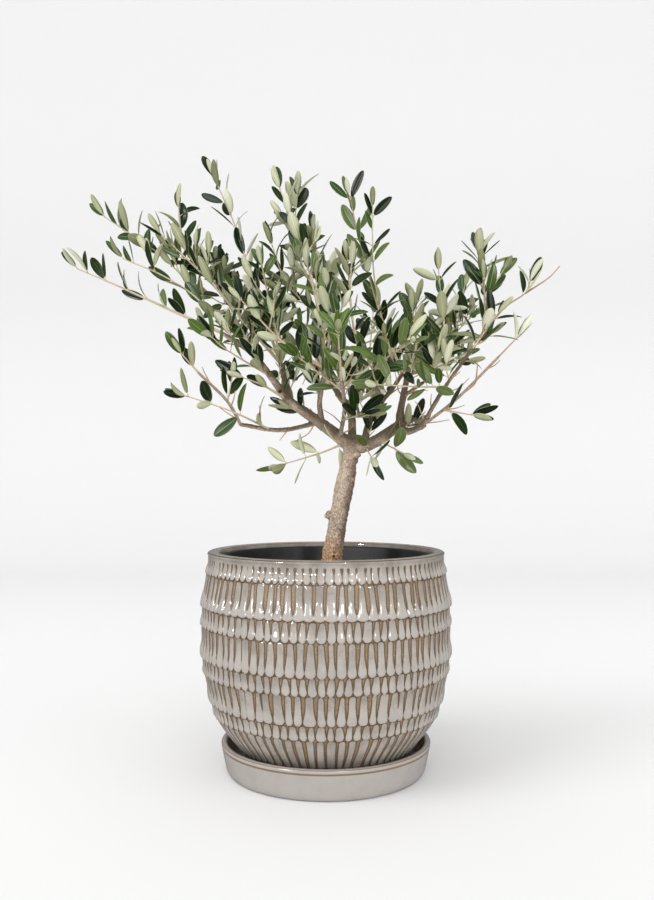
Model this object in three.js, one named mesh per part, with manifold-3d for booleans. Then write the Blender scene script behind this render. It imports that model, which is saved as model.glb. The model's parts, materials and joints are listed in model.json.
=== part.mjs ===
// Potted olive tree: a young olive on one leaning stem, in its grower's pot, which stands
// inside a ribbed glazed cover pot on a saucer. Millimetres, +Z up, front towards -Y.
// The origin is the middle of the saucer's flat underside.
import * as THREE from "three";
import { mergeVertices } from "three/addons/utils/BufferGeometryUtils.js";
import Module from "manifold-3d";

const wasm = await Module();
wasm.setup();

// ---- driving dimensions -------------------------------------------------------------------

const GAP = 0.3; // clearance between touching pieces
const FINE = 0.02; // edges shorter than this are collapsed in a joined solid

const SAUCER = {
  sides: 36,
  floor: 8,
  // Radius and height from the underside up the outside, over the lip and down the inside.
  outline: [[108, 0], [111, 1.4], [112.5, 4], [113.5, 8], [117, 31.6], [116.2, 34], [113.5, 34.6],
    [110.4, 33.8], [109.6, 31.6], [105.6, 10.4], [102.6, 8]],
};

const POT = {
  base: SAUCER.floor + GAP,
  top: 245,
  wall: 9.5,
  floor: 17.5,
  lipInnerR: 120,
  lipRound: 1.6,
  lipDepth: 10, // how far down the inside the lip's straight edge runs
  shoulder: 20, // how far below the top the inner wall leaves the lip
  cove: { rise: 8, run: 6 }, // where the inner wall turns into the floor
  // Radius and height up the outside, from the foot over the belly to the straight lip.
  outside: [[92, 8.3], [93, 22], [111, 45.3], [127, 74], [134.5, 103], [139.5, 150],
    [138.3, 188], [134.8, 218], [131, 236]],
  outsideSteps: 10,
  sides: 36,
};

const NURSERY = {
  base: POT.base + POT.floor + GAP,
  top: 236,
  baseR: 85,
  neckR: 113.5,
  rimR: 117,
  rimHeight: 9,
  rimStep: 1,
  rimRound: [0.8, 0.6],
  wall: 2.2,
  floor: 2.5,
  sides: 32,
};

const SOIL = { top: 205, clearance: 2 * GAP, sides: 32 };

const TRUNK = {
  foot: [2.6, 0, SOIL.top + GAP],
  bends: [[9.5, -2, 254], [18, -3, 303]],
  fork: [29.6, 0, 361],
  radius: [11.9, 9.2],
  flare: 3.6,
  flareLength: 14,
  collar: 2.2,
  collarLength: 16,
  sides: 12,
  steps: 12,
};

const WELD = 1e-4; // points of one surface nearer than this are one point
const STOUT = 4; // limbs with at least this radius at the foot have more sides
const LIMB_SIDES = { stout: 8, slim: 6 };

const LEAF_REACH = 29; // how far leaves stand out past the end of their shoot
const LEAF_RISE = 7; // how far leaves stand up off a level shoot
const BARE = 0.14; // share of a shoot, from its foot, that bears no leaves
const LUMP = 0.26; // how uneven a mass of leaves is, as a share of its girth
const LUMP_WAVES = [7.3, 4.1]; // how fast that unevenness changes up the shoot
const MASS = { sides: 7, rings: 6 };
const BLUNT = 0.62; // shape of a mass's ends: 1 is round, less is blunter

// Woody limbs: the limb each grows from, how far up it, its bends, its tip, and its radius
// at foot and tip.
const LIMBS = [
  { name: "left_bough", from: "trunk", at: 1, radius: [7.6, 4.9],
    bends: [[3, -6, 381]], tip: [-42, -20, 412] },
  { name: "right_bough", from: "trunk", at: 1, radius: [7.8, 5.8],
    bends: [[53, -3, 366]], tip: [83, 0, 386] },
  { name: "centre_bough", from: "trunk", at: 1, radius: [4.8, 3],
    bends: [[28, 8, 401], [14, 30, 424]], tip: [-4, 62, 462] },
  { name: "left_arm", from: "left_bough", at: 1, radius: [4.4, 2.3],
    bends: [[-61, -24, 438], [-81, -22, 463]], tip: [-115, -16, 487] },
  { name: "left_upright", from: "left_bough", at: 1, radius: [4.2, 3.4],
    bends: [[-44, -14, 428]], tip: [-51, 4, 455] },
  { name: "low_left_bough", from: "left_bough", at: 0.52, radius: [2.7, 2.4],
    bends: [[-50, -24, 379]], tip: [-92, -44, 384] },
  { name: "low_left_arm", from: "low_left_bough", at: 1, radius: [1.8, 1.4],
    bends: [[-106, -52, 409]], tip: [-135, -62, 438] },
  { name: "inner_left_bough", from: "left_bough", at: 0.47, radius: [3.2, 2.5],
    bends: [[-7, -20, 412]], tip: [1, -48, 449] },
  { name: "inner_right_bough", from: "right_bough", at: 0.22, radius: [4.2, 3.7],
    bends: [[49, 10, 389]], tip: [65, 22, 416] },
  { name: "inner_right_fork", from: "inner_right_bough", at: 1, radius: [2.8, 2.3],
    bends: [[54, 4, 432]], tip: [47, -20, 443] },
  { name: "back_right_fork", from: "inner_right_bough", at: 1, radius: [2.9, 2.3],
    bends: [[76, 34, 428]], tip: [91, 62, 450] },
  { name: "right_upright", from: "right_bough", at: 1, radius: [4.5, 3.2],
    bends: [[85, 8, 404]], tip: [96, 32, 452] },
  { name: "right_side_twig", from: "right_upright", at: 0.5, radius: [2.4, 1.9],
    bends: [], tip: [111, 4, 435] },
  { name: "right_stub", from: "right_bough", at: 0.97, radius: [2.8, 2.6],
    bends: [], tip: [101, -10, 392] },
  { name: "right_lower_bough", from: "right_bough", at: 0.93, radius: [4.6, 3.3],
    bends: [[91, -14, 378]], tip: [105, -30, 383] },
  { name: "right_arm", from: "right_lower_bough", at: 1, radius: [2.5, 1.8],
    bends: [[128, -44, 424]], tip: [169, -48, 481] },
  { name: "right_low_arm", from: "right_lower_bough", at: 1, radius: [1.8, 1.3],
    bends: [[142, -50, 413]], tip: [183, -62, 455] },
  { name: "back_bough", from: "centre_bough", at: 0.42, radius: [3.2, 2.3],
    bends: [[40, 56, 424]], tip: [48, 108, 446] },
  { name: "back_left_bough", from: "centre_bough", at: 0.9, radius: [2.7, 2],
    bends: [[-14, 88, 463]], tip: [-34, 122, 482] },
  { name: "front_bough", from: "left_bough", at: 0.2, radius: [2.6, 2],
    bends: [[20, -40, 400]], tip: [16, -84, 428] },
];

// Leafy shoots: the mass of leaves each belongs to, the limb or shoot it grows from, how far
// up that, its bends, its tip, and the girth of its leaves.
const SHOOTS = [
  { name: "left_far", from: "left_arm", at: 1, girth: 16,
    bends: [[-166, -22, 509], [-221, -34, 533]], tip: [-275, -44, 556] },
  { name: "left_outer", from: "left_arm", at: 0.8, girth: 18,
    bends: [[-144, -4, 527], [-182, -2, 553]], tip: [-226, -8, 571] },
  { name: "left_high", from: "left_outer", at: 0.34, girth: 17,
    bends: [[-184, 20, 577]], tip: [-255, 24, 627] },
  { name: "left_crown", from: "left_upright", at: 1, girth: 21,
    bends: [[-90, 6, 500], [-132, 8, 549]], tip: [-185, 2, 600] },
  { name: "left_crown_top", mass: "left_crown", from: "left_crown", at: 0.72, girth: 16,
    bends: [[-163, 14, 594]], tip: [-169, 18, 624] },
  { name: "left_mid", from: "left_arm", at: 0.55, girth: 22,
    bends: [[-112, 26, 525]], tip: [-146, 44, 580] },
  { name: "left_tall", from: "left_upright", at: 1, girth: 20,
    bends: [[-81, 22, 538], [-102, 32, 609]], tip: [-130, 40, 676] },
  { name: "left_inner", from: "left_upright", at: 1, girth: 25,
    bends: [[-60, -4, 505]], tip: [-71, -14, 560] },
  { name: "front_left", from: "inner_left_bough", at: 0.92, girth: 22,
    bends: [[-42, -62, 467]], tip: [-88, -72, 512] },
  { name: "under_left_arm", from: "left_bough", at: 0.97, girth: 16,
    bends: [[-66, -34, 424]], tip: [-90, -46, 424] },
  { name: "low_left_end", from: "low_left_arm", at: 1, girth: 24,
    bends: [], tip: [-151, -69, 456] },
  { name: "low_left_twig", from: "low_left_bough", at: 0.62, girth: 17,
    bends: [[-100, -66, 397]], tip: [-143, -84, 411] },
  { name: "low_sprig", from: "trunk", at: 0.97, girth: 14,
    bends: [[-18, -30, 351]], tip: [-58, -44, 340] },
  { name: "middle_tall", from: "inner_left_bough", at: 1, girth: 20,
    bends: [[-11, -26, 523], [-29, -8, 589]], tip: [-52, 0, 641] },
  { name: "middle_back", from: "centre_bough", at: 1, girth: 23,
    bends: [[-40, 74, 540]], tip: [-37, 74, 600] },
  { name: "middle_right", from: "centre_bough", at: 1, girth: 20,
    bends: [[-2, 56, 536]], tip: [-20, 44, 626] },
  { name: "centre_front", from: "inner_left_bough", at: 1, girth: 23,
    bends: [[4, -70, 483]], tip: [1, -78, 524] },
  { name: "centre_tall", from: "inner_right_fork", at: 1, girth: 23,
    bends: [[31, -22, 490]], tip: [24, -10, 567] },
  { name: "right_tall", from: "back_right_fork", at: 1, girth: 19,
    bends: [[64, 42, 517], [42, 34, 592]], tip: [27, 28, 648] },
  { name: "right_tall_twin", mass: "right_tall", from: "right_tall", at: 0.4, girth: 21,
    bends: [[54, 20, 574]], tip: [49, 12, 619] },
  { name: "right_short", from: "right_upright", at: 1, girth: 25,
    bends: [[106, 42, 488]], tip: [102, 52, 528] },
  { name: "right_middle", from: "right_side_twig", at: 1, girth: 22,
    bends: [[133, 2, 475]], tip: [126, 8, 568] },
  { name: "right_inner", from: "right_side_twig", at: 1, girth: 24,
    bends: [[150, 34, 498]], tip: [163, 48, 550] },
  { name: "right_high", from: "right_arm", at: 1, girth: 22,
    bends: [[171, -44, 520]], tip: [165, -38, 573] },
  { name: "right_far", from: "right_arm", at: 1, girth: 14,
    bends: [[196, -52, 514]], tip: [229, -54, 536] },
  { name: "right_low_end", from: "right_low_arm", at: 0.94, girth: 14,
    bends: [], tip: [201, -66, 474] },
  { name: "right_low_side", from: "right_low_arm", at: 0.27, girth: 12,
    bends: [], tip: [154, -54, 394] },
  { name: "front_right", from: "right_arm", at: 0.42, girth: 21,
    bends: [[97, -82, 421]], tip: [53, -104, 421] },
  { name: "under_right", from: "right_bough", at: 0.5, girth: 12,
    bends: [], tip: [84, -26, 354] },
  { name: "under_fork", from: "right_bough", at: 0.24, girth: 12,
    bends: [], tip: [55, -22, 344] },
  { name: "front_centre", from: "front_bough", at: 1, girth: 23,
    bends: [], tip: [12, -124, 470] },
  { name: "front_low", mass: "front_centre", from: "front_bough", at: 0.8, girth: 20,
    bends: [], tip: [-26, -118, 446] },
  { name: "front_far_right", from: "inner_right_fork", at: 0.9, girth: 23,
    bends: [[62, -60, 452]], tip: [84, -112, 462] },
  { name: "back_centre", from: "back_bough", at: 1, girth: 27,
    bends: [[56, 150, 488]], tip: [62, 176, 544] },
  { name: "back_low", from: "back_bough", at: 0.9, girth: 23,
    bends: [[30, 150, 440]], tip: [2, 190, 452] },
  { name: "back_left", from: "back_left_bough", at: 1, girth: 27,
    bends: [[-60, 150, 508]], tip: [-92, 168, 548] },
  { name: "back_inner", from: "back_left_bough", at: 0.7, girth: 25,
    bends: [[-8, 116, 520]], tip: [4, 124, 584] },
  { name: "back_right", from: "back_right_fork", at: 1, girth: 26,
    bends: [[118, 96, 474]], tip: [150, 132, 514] },
  { name: "back_far_right", mass: "back_right", from: "back_right_fork", at: 1, girth: 22,
    bends: [[112, 84, 462]], tip: [172, 98, 470] },
];

const COLOURS = {
  glaze: { color: 0xb7b1a8, roughness: 0.3, metalness: 0 },
  saucer: { color: 0xb5afa8, roughness: 0.3, metalness: 0 },
  nursery: { color: 0x2f3232, roughness: 0.6, metalness: 0 },
  soil: { color: 0x4a3a2e, roughness: 1, metalness: 0 },
  bark: { color: 0x9a8672, roughness: 0.9, metalness: 0 },
  leaves: { color: 0x5f7a58, roughness: 0.6, metalness: 0 },
};

// ---- helpers ------------------------------------------------------------------------------

const vector = ([x, y, z]) => new THREE.Vector3(x, y, z);

// A closed geometry as a solid that can be joined and cut.
function toSolid(geometry) {
  const bare = geometry.clone();
  bare.deleteAttribute("normal");
  bare.deleteAttribute("uv");
  const merged = mergeVertices(bare, WELD);
  return new wasm.Manifold(new wasm.Mesh({
    numProp: 3,
    vertProperties: new Float32Array(merged.attributes.position.array),
    triVerts: new Uint32Array(merged.index.array),
    tolerance: FINE,
  }));
}

// A solid's largest piece as a geometry.
function toGeometry(solid) {
  const pieces = solid.decompose();
  pieces.sort((a, b) => b.volume() - a.volume());
  const mesh = pieces[0].getMesh();
  const geometry = new THREE.BufferGeometry();
  const points = new Float32Array(mesh.vertProperties);
  geometry.setAttribute("position", new THREE.BufferAttribute(points, 3));
  geometry.setIndex(new THREE.BufferAttribute(new Uint32Array(mesh.triVerts), 1));
  geometry.computeVertexNormals();
  return geometry;
}

// A named mesh whose own origin is at `foot`; `geometry` is given in the part's frame.
function place(name, geometry, foot, finish) {
  geometry.translate(-foot.x, -foot.y, -foot.z);
  const mesh = new THREE.Mesh(geometry, new THREE.MeshStandardMaterial(finish));
  mesh.name = name;
  mesh.position.copy(foot);
  return mesh;
}

// ---- vessels ------------------------------------------------------------------------------

// A body turned about +Z from a closed outline of [radius, height] points.
function turned(name, outline, sides, finish) {
  const points = outline.map(([radius, height]) => new THREE.Vector2(radius, height));
  const geometry = new THREE.LatheGeometry(points, sides).rotateX(Math.PI / 2);
  return place(name, geometry, new THREE.Vector3(0, 0, 0), finish);
}

function saucer() {
  const { floor, outline, sides } = SAUCER;
  return turned("saucer", [[0, 0], ...outline, [0, floor]], sides, COLOURS.saucer);
}

function coverPot() {
  const { base, top, wall, floor, lipInnerR, lipRound, lipDepth, shoulder, cove } = POT;
  const { outside, outsideSteps, sides } = POT;
  const curve = new THREE.SplineCurve(outside.map(([r, z]) => new THREE.Vector2(r, z)));
  const outer = curve.getPoints(outsideSteps).map((p) => [p.x, p.y]);
  const lipR = outer.at(-1)[0];
  const floorTop = base + floor;
  const inner = outer.filter(([, z]) => z > floorTop + cove.rise && z < top - shoulder)
    .map(([r, z]) => [r - wall, z])
    .reverse();
  return turned("cover_pot", [
    [0, base], ...outer, [lipR, top - lipRound], [lipR - lipRound, top],
    [lipInnerR + lipRound, top], [lipInnerR, top - lipRound], [lipInnerR, top - lipDepth],
    ...inner, [inner.at(-1)[0] - cove.run, floorTop], [0, floorTop],
  ], sides, COLOURS.glaze);
}

function nurseryPot() {
  const { base, top, baseR, neckR, rimR, rimHeight, rimStep, rimRound, wall, floor, sides } = NURSERY;
  const rimFoot = top - rimHeight;
  const [roundIn, roundDown] = rimRound;
  return turned("nursery_pot", [
    [0, base], [baseR, base], [neckR, rimFoot - rimStep], [rimR, rimFoot], [rimR, top - roundDown],
    [rimR - roundIn, top], [neckR - wall + roundDown, top], [neckR - wall, rimFoot],
    [baseR - wall, base + floor], [0, base + floor],
  ], sides, COLOURS.nursery);
}

// Inner radius of the grower's pot at a height.
function nurseryInside(height) {
  const { base, top, baseR, neckR, rimHeight, wall, floor } = NURSERY;
  const share = (height - base - floor) / (top - rimHeight - base - floor);
  return THREE.MathUtils.lerp(baseR - wall, neckR - wall, share);
}

function soil() {
  const { top, clearance, sides } = SOIL;
  const bottom = NURSERY.base + NURSERY.floor + GAP;
  const rim = [bottom, top].map((height) => [nurseryInside(height) - clearance, height]);
  return turned("soil", [[0, bottom], ...rim, [0, top]], sides, COLOURS.soil);
}

// ---- wood and leaves ----------------------------------------------------------------------

// The line of a limb or shoot, from its foot through its bends to its tip.
function lineOf(foot, bends, tip) {
  const points = [foot, ...bends.map(vector), vector(tip)];
  return new THREE.CatmullRomCurve3(points, false, "catmullrom", 0.5);
}

// A point on a line, and past its end straight on along its tip.
function pointAlong(line, distance) {
  const length = line.getLength();
  const point = line.getPointAt(Math.min(distance / length, 1));
  return point.addScaledVector(line.getTangentAt(1), Math.max(distance - length, 0));
}

// Wraps a geometry that stands round the Y axis onto a line: `along` gives the distance up the
// line and `radius` the girth there for each of its rings and sides, and `rise` lifts it where
// the line runs level.
function wrap(geometry, line, rings, along, radius, rise = 0) {
  const frames = line.computeFrenetFrames(rings, false);
  const position = geometry.attributes.position;
  const spot = new THREE.Vector3();
  for (let i = 0; i < position.count; i += 1) {
    spot.fromBufferAttribute(position, i);
    const share = along(spot.y);
    const ring = Math.min(Math.round(Math.min(share, 1) * rings), rings);
    const angle = Math.atan2(spot.z, spot.x);
    const girth = Math.hypot(spot.x, spot.z) ** BLUNT * radius(share, angle);
    const centre = pointAlong(line, share * line.getLength());
    centre.z += rise * (1 - Math.abs(frames.tangents[ring].z));
    centre.addScaledVector(frames.normals[ring], girth * Math.sin(angle));
    centre.addScaledVector(frames.binormals[ring], girth * Math.cos(angle));
    position.setXYZ(i, centre.x, centre.y, centre.z);
  }
  return geometry;
}

// A tapering limb along a line, `extra` fatter all round; `girthAt` gives its radius.
function limbSolid(line, girthAt, sides, steps, extra) {
  const geometry = new THREE.CylinderGeometry(1, 1, 1, sides, steps);
  return wrap(geometry, line, steps, (y) => y + 0.5, (share) => girthAt(share) + extra);
}

// The leaves round one shoot: a closed uneven sleeve from just above its foot to past its tip.
function sleeveSolid(line, girth, seed, extra) {
  const { sides, rings } = MASS;
  const [turning, fading] = LUMP_WAVES;
  const last = 1 + LEAF_REACH / line.getLength();
  const along = (y) => THREE.MathUtils.lerp(BARE, last, (y + 1) / 2);
  const uneven = (share, angle) => 1
    + LUMP * Math.sin(turning * share + 2 * angle + seed) * Math.cos(fading * share - seed);
  const radius = (share, angle) => girth * uneven(share, angle) + extra;
  return wrap(new THREE.SphereGeometry(1, sides, rings), line, rings, along, radius, LEAF_RISE);
}

// ---- assembly -----------------------------------------------------------------------------

const tree = new THREE.Group();
const vessels = new THREE.Group();
vessels.add(saucer(), coverPot(), nurseryPot(), soil());
tree.add(vessels);

const lines = new Map();
const placed = []; // each placed solid a little fatter, to cut what comes after it

// Cuts a solid by every placed one, and adds it to them.
function fit(solid, fatter) {
  const cut = placed.reduce((rest, other) => rest.subtract(other), solid);
  placed.push(fatter);
  return cut;
}

function trunk() {
  const { foot, bends, fork, radius, flare, flareLength, collar, collarLength, sides, steps } = TRUNK;
  const line = lineOf(vector(foot), bends, fork);
  const length = line.getLength();
  lines.set("trunk", line);
  const girthAt = (share) => THREE.MathUtils.lerp(radius[0], radius[1], share)
    + flare * Math.exp((-share * length) / flareLength)
    + collar * Math.exp((-(1 - share) * length) / collarLength);
  const [exact, fatter] = [0, GAP]
    .map((extra) => toSolid(limbSolid(line, girthAt, sides, steps, extra)));
  const level = exact.trimByPlane([0, 0, 1], foot[2]);
  return place("trunk", toGeometry(fit(level, fatter)), vector(foot), COLOURS.bark);
}

function limb({ name, from, at, bends, tip, radius }) {
  const foot = lines.get(from).getPointAt(at);
  const line = lineOf(foot, bends, tip);
  lines.set(name, line);
  const steps = 2 + 2 * bends.length;
  const sides = radius[0] > STOUT ? LIMB_SIDES.stout : LIMB_SIDES.slim;
  const girthAt = (share) => THREE.MathUtils.lerp(radius[0], radius[1], share);
  const [exact, fatter] = [0, GAP]
    .map((extra) => toSolid(limbSolid(line, girthAt, sides, steps, extra)));
  return place(name, toGeometry(fit(exact, fatter)), foot, COLOURS.bark);
}

// One mass of leaves: the sleeves of its shoots joined.
function mass(name, shoots) {
  const [exact, fatter] = [0, GAP].map((extra) => shoots
    .map(({ line, girth, seed }) => toSolid(sleeveSolid(line, girth, seed, extra)))
    .reduce((joined, sleeve) => joined.add(sleeve)));
  const foot = shoots[0].line.getPointAt(0);
  return place(`leaves_${name}`, toGeometry(fit(exact, fatter)), foot, COLOURS.leaves);
}

tree.add(trunk(), ...LIMBS.map(limb));

const crown = new THREE.Group();
const masses = new Map();
SHOOTS.forEach(({ name, mass: massName = name, from, at, bends, tip, girth }, seed) => {
  const line = lineOf(lines.get(from).getPointAt(at), bends, tip);
  lines.set(name, line);
  masses.set(massName, [...(masses.get(massName) ?? []), { line, girth, seed }]);
});
masses.forEach((shoots, name) => crown.add(mass(name, shoots)));
tree.add(crown);

export default tree;
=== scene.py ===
"""A young olive tree in a ribbed glazed pot on a saucer, dressed over its construction model.

Sizes and places are in millimetres unless a comment says otherwise; meshes are in metres, +Z up,
with the front towards -Y and the middle of the saucer's underside at the origin.
"""
from __future__ import annotations

import json
import logging
import math
from collections.abc import Sequence
from dataclasses import dataclass, field
from enum import Enum

import bpy
import numpy as np
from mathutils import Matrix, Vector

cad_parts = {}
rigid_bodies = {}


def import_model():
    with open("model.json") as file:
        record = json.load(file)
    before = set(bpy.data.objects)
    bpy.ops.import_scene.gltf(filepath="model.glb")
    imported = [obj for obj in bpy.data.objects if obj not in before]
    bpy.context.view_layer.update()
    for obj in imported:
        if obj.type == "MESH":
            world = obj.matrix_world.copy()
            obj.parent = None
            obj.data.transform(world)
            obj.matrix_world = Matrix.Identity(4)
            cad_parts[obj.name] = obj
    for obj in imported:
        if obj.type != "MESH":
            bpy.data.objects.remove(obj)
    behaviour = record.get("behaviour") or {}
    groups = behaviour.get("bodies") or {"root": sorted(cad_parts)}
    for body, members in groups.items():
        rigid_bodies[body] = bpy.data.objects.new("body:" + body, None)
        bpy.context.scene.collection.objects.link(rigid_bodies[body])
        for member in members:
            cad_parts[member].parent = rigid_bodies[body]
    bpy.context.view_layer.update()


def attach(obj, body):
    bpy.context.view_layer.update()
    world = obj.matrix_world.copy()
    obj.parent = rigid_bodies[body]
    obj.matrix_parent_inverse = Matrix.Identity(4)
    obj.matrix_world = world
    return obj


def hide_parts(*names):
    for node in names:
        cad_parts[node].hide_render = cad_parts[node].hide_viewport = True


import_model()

MM = 0.001
TURN = 2 * math.pi
UP = np.array([0.0, 0.0, 1.0])
Colour = tuple[float, float, float, float]
Place = tuple[float, float, float]
log = logging.getLogger("olive")


# ---- shaping tools ----


def paint(red: int, green: int, blue: int) -> Colour:
    """Returns a colour given as 0 to 255 display values, as linear light with full alpha."""
    light = [(v / 255) / 12.92 if v < 11 else ((v / 255 + 0.055) / 1.055) ** 2.4 for v in (red, green, blue)]
    return (light[0], light[1], light[2], 1.0)


def unit(vectors: np.ndarray) -> np.ndarray:
    """Returns the vectors, each scaled to length one."""
    return vectors / np.maximum(np.linalg.norm(vectors, axis=-1, keepdims=True), 1e-12)


def lumps(points: np.ndarray, cell: float, seed: int) -> np.ndarray:
    """Smooth noise over space.

    Args:
        points: Places, one row each.
        cell: Size of one lump, in the unit of the points.
        seed: Which noise.

    Returns:
        A value from -1 to 1 for each place.
    """
    axis_keys, seed_key, mixer, word = (374761393, 668265263, 69069069), 144269, 1274126177, 0xFFFFFFFF
    spot = points / cell
    base = np.floor(spot).astype(np.int64)
    part = spot - base
    part = part * part * (3 - 2 * part)
    total = np.zeros(len(points))
    for corner in range(8):
        step = np.array([corner & 1, corner >> 1 & 1, corner >> 2])
        mixed = ((base + step) @ np.array(axis_keys) + seed * seed_key) & word
        mixed = ((mixed ^ (mixed >> 13)) * mixer) & word
        value = ((mixed ^ (mixed >> 16)) & 0xFFFF) / 32767.5 - 1
        total += value * np.prod(np.where(step, part, 1 - part), axis=1)
    return total


def ease(value: np.ndarray) -> np.ndarray:
    """Returns the value held between 0 and 1, with soft ends."""
    held = np.clip(value, 0, 1)
    return held * held * (3 - 2 * held)


class Line:
    """A smooth line through points, walked by its length."""

    STEPS = 240
    LOOK = 0.01

    def __init__(self, points: Sequence) -> None:
        """Samples the line.

        Args:
            points: The points that it passes.
        """
        knots = np.array(points, float)
        knots = np.vstack([2 * knots[0] - knots[1], knots, 2 * knots[-1] - knots[-2]])
        spans = len(knots) - 3
        place = np.linspace(0, spans, self.STEPS + 1)
        first = np.minimum(place.astype(int), spans - 1)
        u = (place - first)[:, None]
        a, b, c, d = (knots[first + k] for k in range(4))
        out, into = 0.5 * (c - a), 0.5 * (d - b)
        self.samples = ((2 * b - 2 * c + out + into) * u ** 3 + (3 * c - 3 * b - 2 * out - into) * u ** 2
                        + out * u + b)
        steps = np.linalg.norm(np.diff(self.samples, axis=0), axis=1)
        self.walked = np.concatenate([[0], np.cumsum(steps)])
        self.length = float(self.walked[-1])

    def at(self, share: float | np.ndarray) -> np.ndarray:
        """Points at shares of the length.

        Args:
            share: 0 at the foot and 1 at the tip.

        Returns:
            The points.
        """
        far = np.asarray(share) * self.length
        return np.stack([np.interp(far, self.walked, self.samples[:, k]) for k in range(3)], axis=-1)

    def heading(self, share: float | np.ndarray) -> np.ndarray:
        """Returns the line's direction at shares of its length."""
        low, high = (np.clip(np.asarray(share) + step, 0, 1) for step in (-self.LOOK, self.LOOK))
        return unit(self.at(high) - self.at(low))


def across(directions: np.ndarray) -> tuple[np.ndarray, np.ndarray]:
    """Two directions square to each of a run of directions, turning as little as they can.

    Args:
        directions: The run, as unit vectors.

    Returns:
        Both runs of square directions.
    """
    sides = np.empty_like(directions)
    start = np.array([0.0, 1.0, 0.0]) if abs(directions[0, 1]) < 0.9 else np.array([1.0, 0.0, 0.0])
    side = start - directions[0] * (start @ directions[0])
    for k, way in enumerate(directions):
        side = side - way * (side @ way)
        side = side / np.linalg.norm(side)
        sides[k] = side
    return sides, np.cross(directions, sides)


def square(direction: np.ndarray) -> tuple[np.ndarray, np.ndarray]:
    """Returns two directions square to one direction and to each other."""
    side, other = across(direction[None])
    return side[0], other[0]


@dataclass
class Batch:
    """Shapes gathered into one mesh."""

    points: list = field(default_factory=list)
    faces: list = field(default_factory=list)
    finishes: list = field(default_factory=list)
    flats: list = field(default_factory=list)
    charts: list = field(default_factory=list)
    marks: dict = field(default_factory=dict)
    count: int = 0

    def add(self, points: np.ndarray, faces: np.ndarray, finish: int | np.ndarray = 0, flat: bool = False,
            chart: np.ndarray | None = None, own: bool = True) -> None:
        """Adds faces that all have the same number of corners.

        Args:
            points: New points, or none.
            faces: One row of corners for each face, counted within the new points if `own`.
            finish: The finish of each face, or one for all.
            flat: True for faces that meet the others at a sharp edge.
            chart: Two map coordinates for each corner of each face.
            own: False if the faces count all the batch's points.
        """
        self.faces.append(faces + (self.count if own else 0))
        self.finishes.append(np.broadcast_to(finish, len(faces)))
        self.flats.append(np.full(len(faces), flat))
        self.charts.append(chart)
        if len(points):
            self.points.append(points)
            self.count += len(points)

    def mesh(self, name: str) -> bpy.types.Mesh:
        """Makes the mesh, with its marks and its map.

        Args:
            name: The mesh's name.

        Returns:
            The mesh, in metres.
        """
        mesh = bpy.data.meshes.new(name)
        points = np.concatenate(self.points) * MM
        sizes = np.concatenate([np.full(len(f), f.shape[1]) for f in self.faces])
        corners = np.concatenate([f.ravel() for f in self.faces])
        mesh.vertices.add(len(points))
        mesh.vertices.foreach_set("co", points.ravel().astype(np.float32))
        mesh.loops.add(len(corners))
        mesh.loops.foreach_set("vertex_index", corners.astype(np.int32))
        mesh.polygons.add(len(sizes))
        starts = np.concatenate([[0], np.cumsum(sizes)[:-1]])
        mesh.polygons.foreach_set("loop_start", starts.astype(np.int32))
        mesh.polygons.foreach_set("material_index", np.concatenate(self.finishes).astype(np.int32))
        mesh.update(calc_edges=True)
        flats = np.concatenate(self.flats)
        mesh.polygons.foreach_set("use_smooth", ~flats)
        edges = np.empty(len(corners), np.int32)
        mesh.loops.foreach_get("edge_index", edges)
        sharp = np.zeros(len(mesh.edges), bool)
        sharp[edges[np.repeat(flats, sizes)]] = True
        mesh.edges.foreach_set("use_edge_sharp", sharp)
        for label, values in self.marks.items():
            mark = mesh.attributes.new(label, "FLOAT", "POINT")
            mark.data.foreach_set("value", np.asarray(values, np.float32))
        if all(chart is not None for chart in self.charts):
            layer = mesh.uv_layers.new(name="OFBake")
            spread = np.concatenate([chart.reshape(-1, 2) for chart in self.charts])
            layer.data.foreach_set("uv", spread.ravel().astype(np.float32))
        mesh.validate()
        return mesh

    def build(self, name: str, materials: list[bpy.types.Material], slot: str,
              stands_for: Sequence[str] = ()) -> bpy.types.Object:
        """Makes the piece.

        Args:
            name: The piece's name.
            materials: Its materials, in the order the finishes count them.
            slot: The record's material slot; not used.
            stands_for: The construction nodes that it replaces.

        Returns:
            The new object, riding on the part's body.
        """
        mesh = self.mesh(name)
        for material in materials:
            mesh.materials.append(material)
        piece = bpy.data.objects.new(name, mesh)
        bpy.context.scene.collection.objects.link(piece)
        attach(piece, "root")
        if stands_for:
            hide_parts(*stands_for)
        log.info("%s: %d faces", name, len(mesh.polygons))
        return piece


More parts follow.
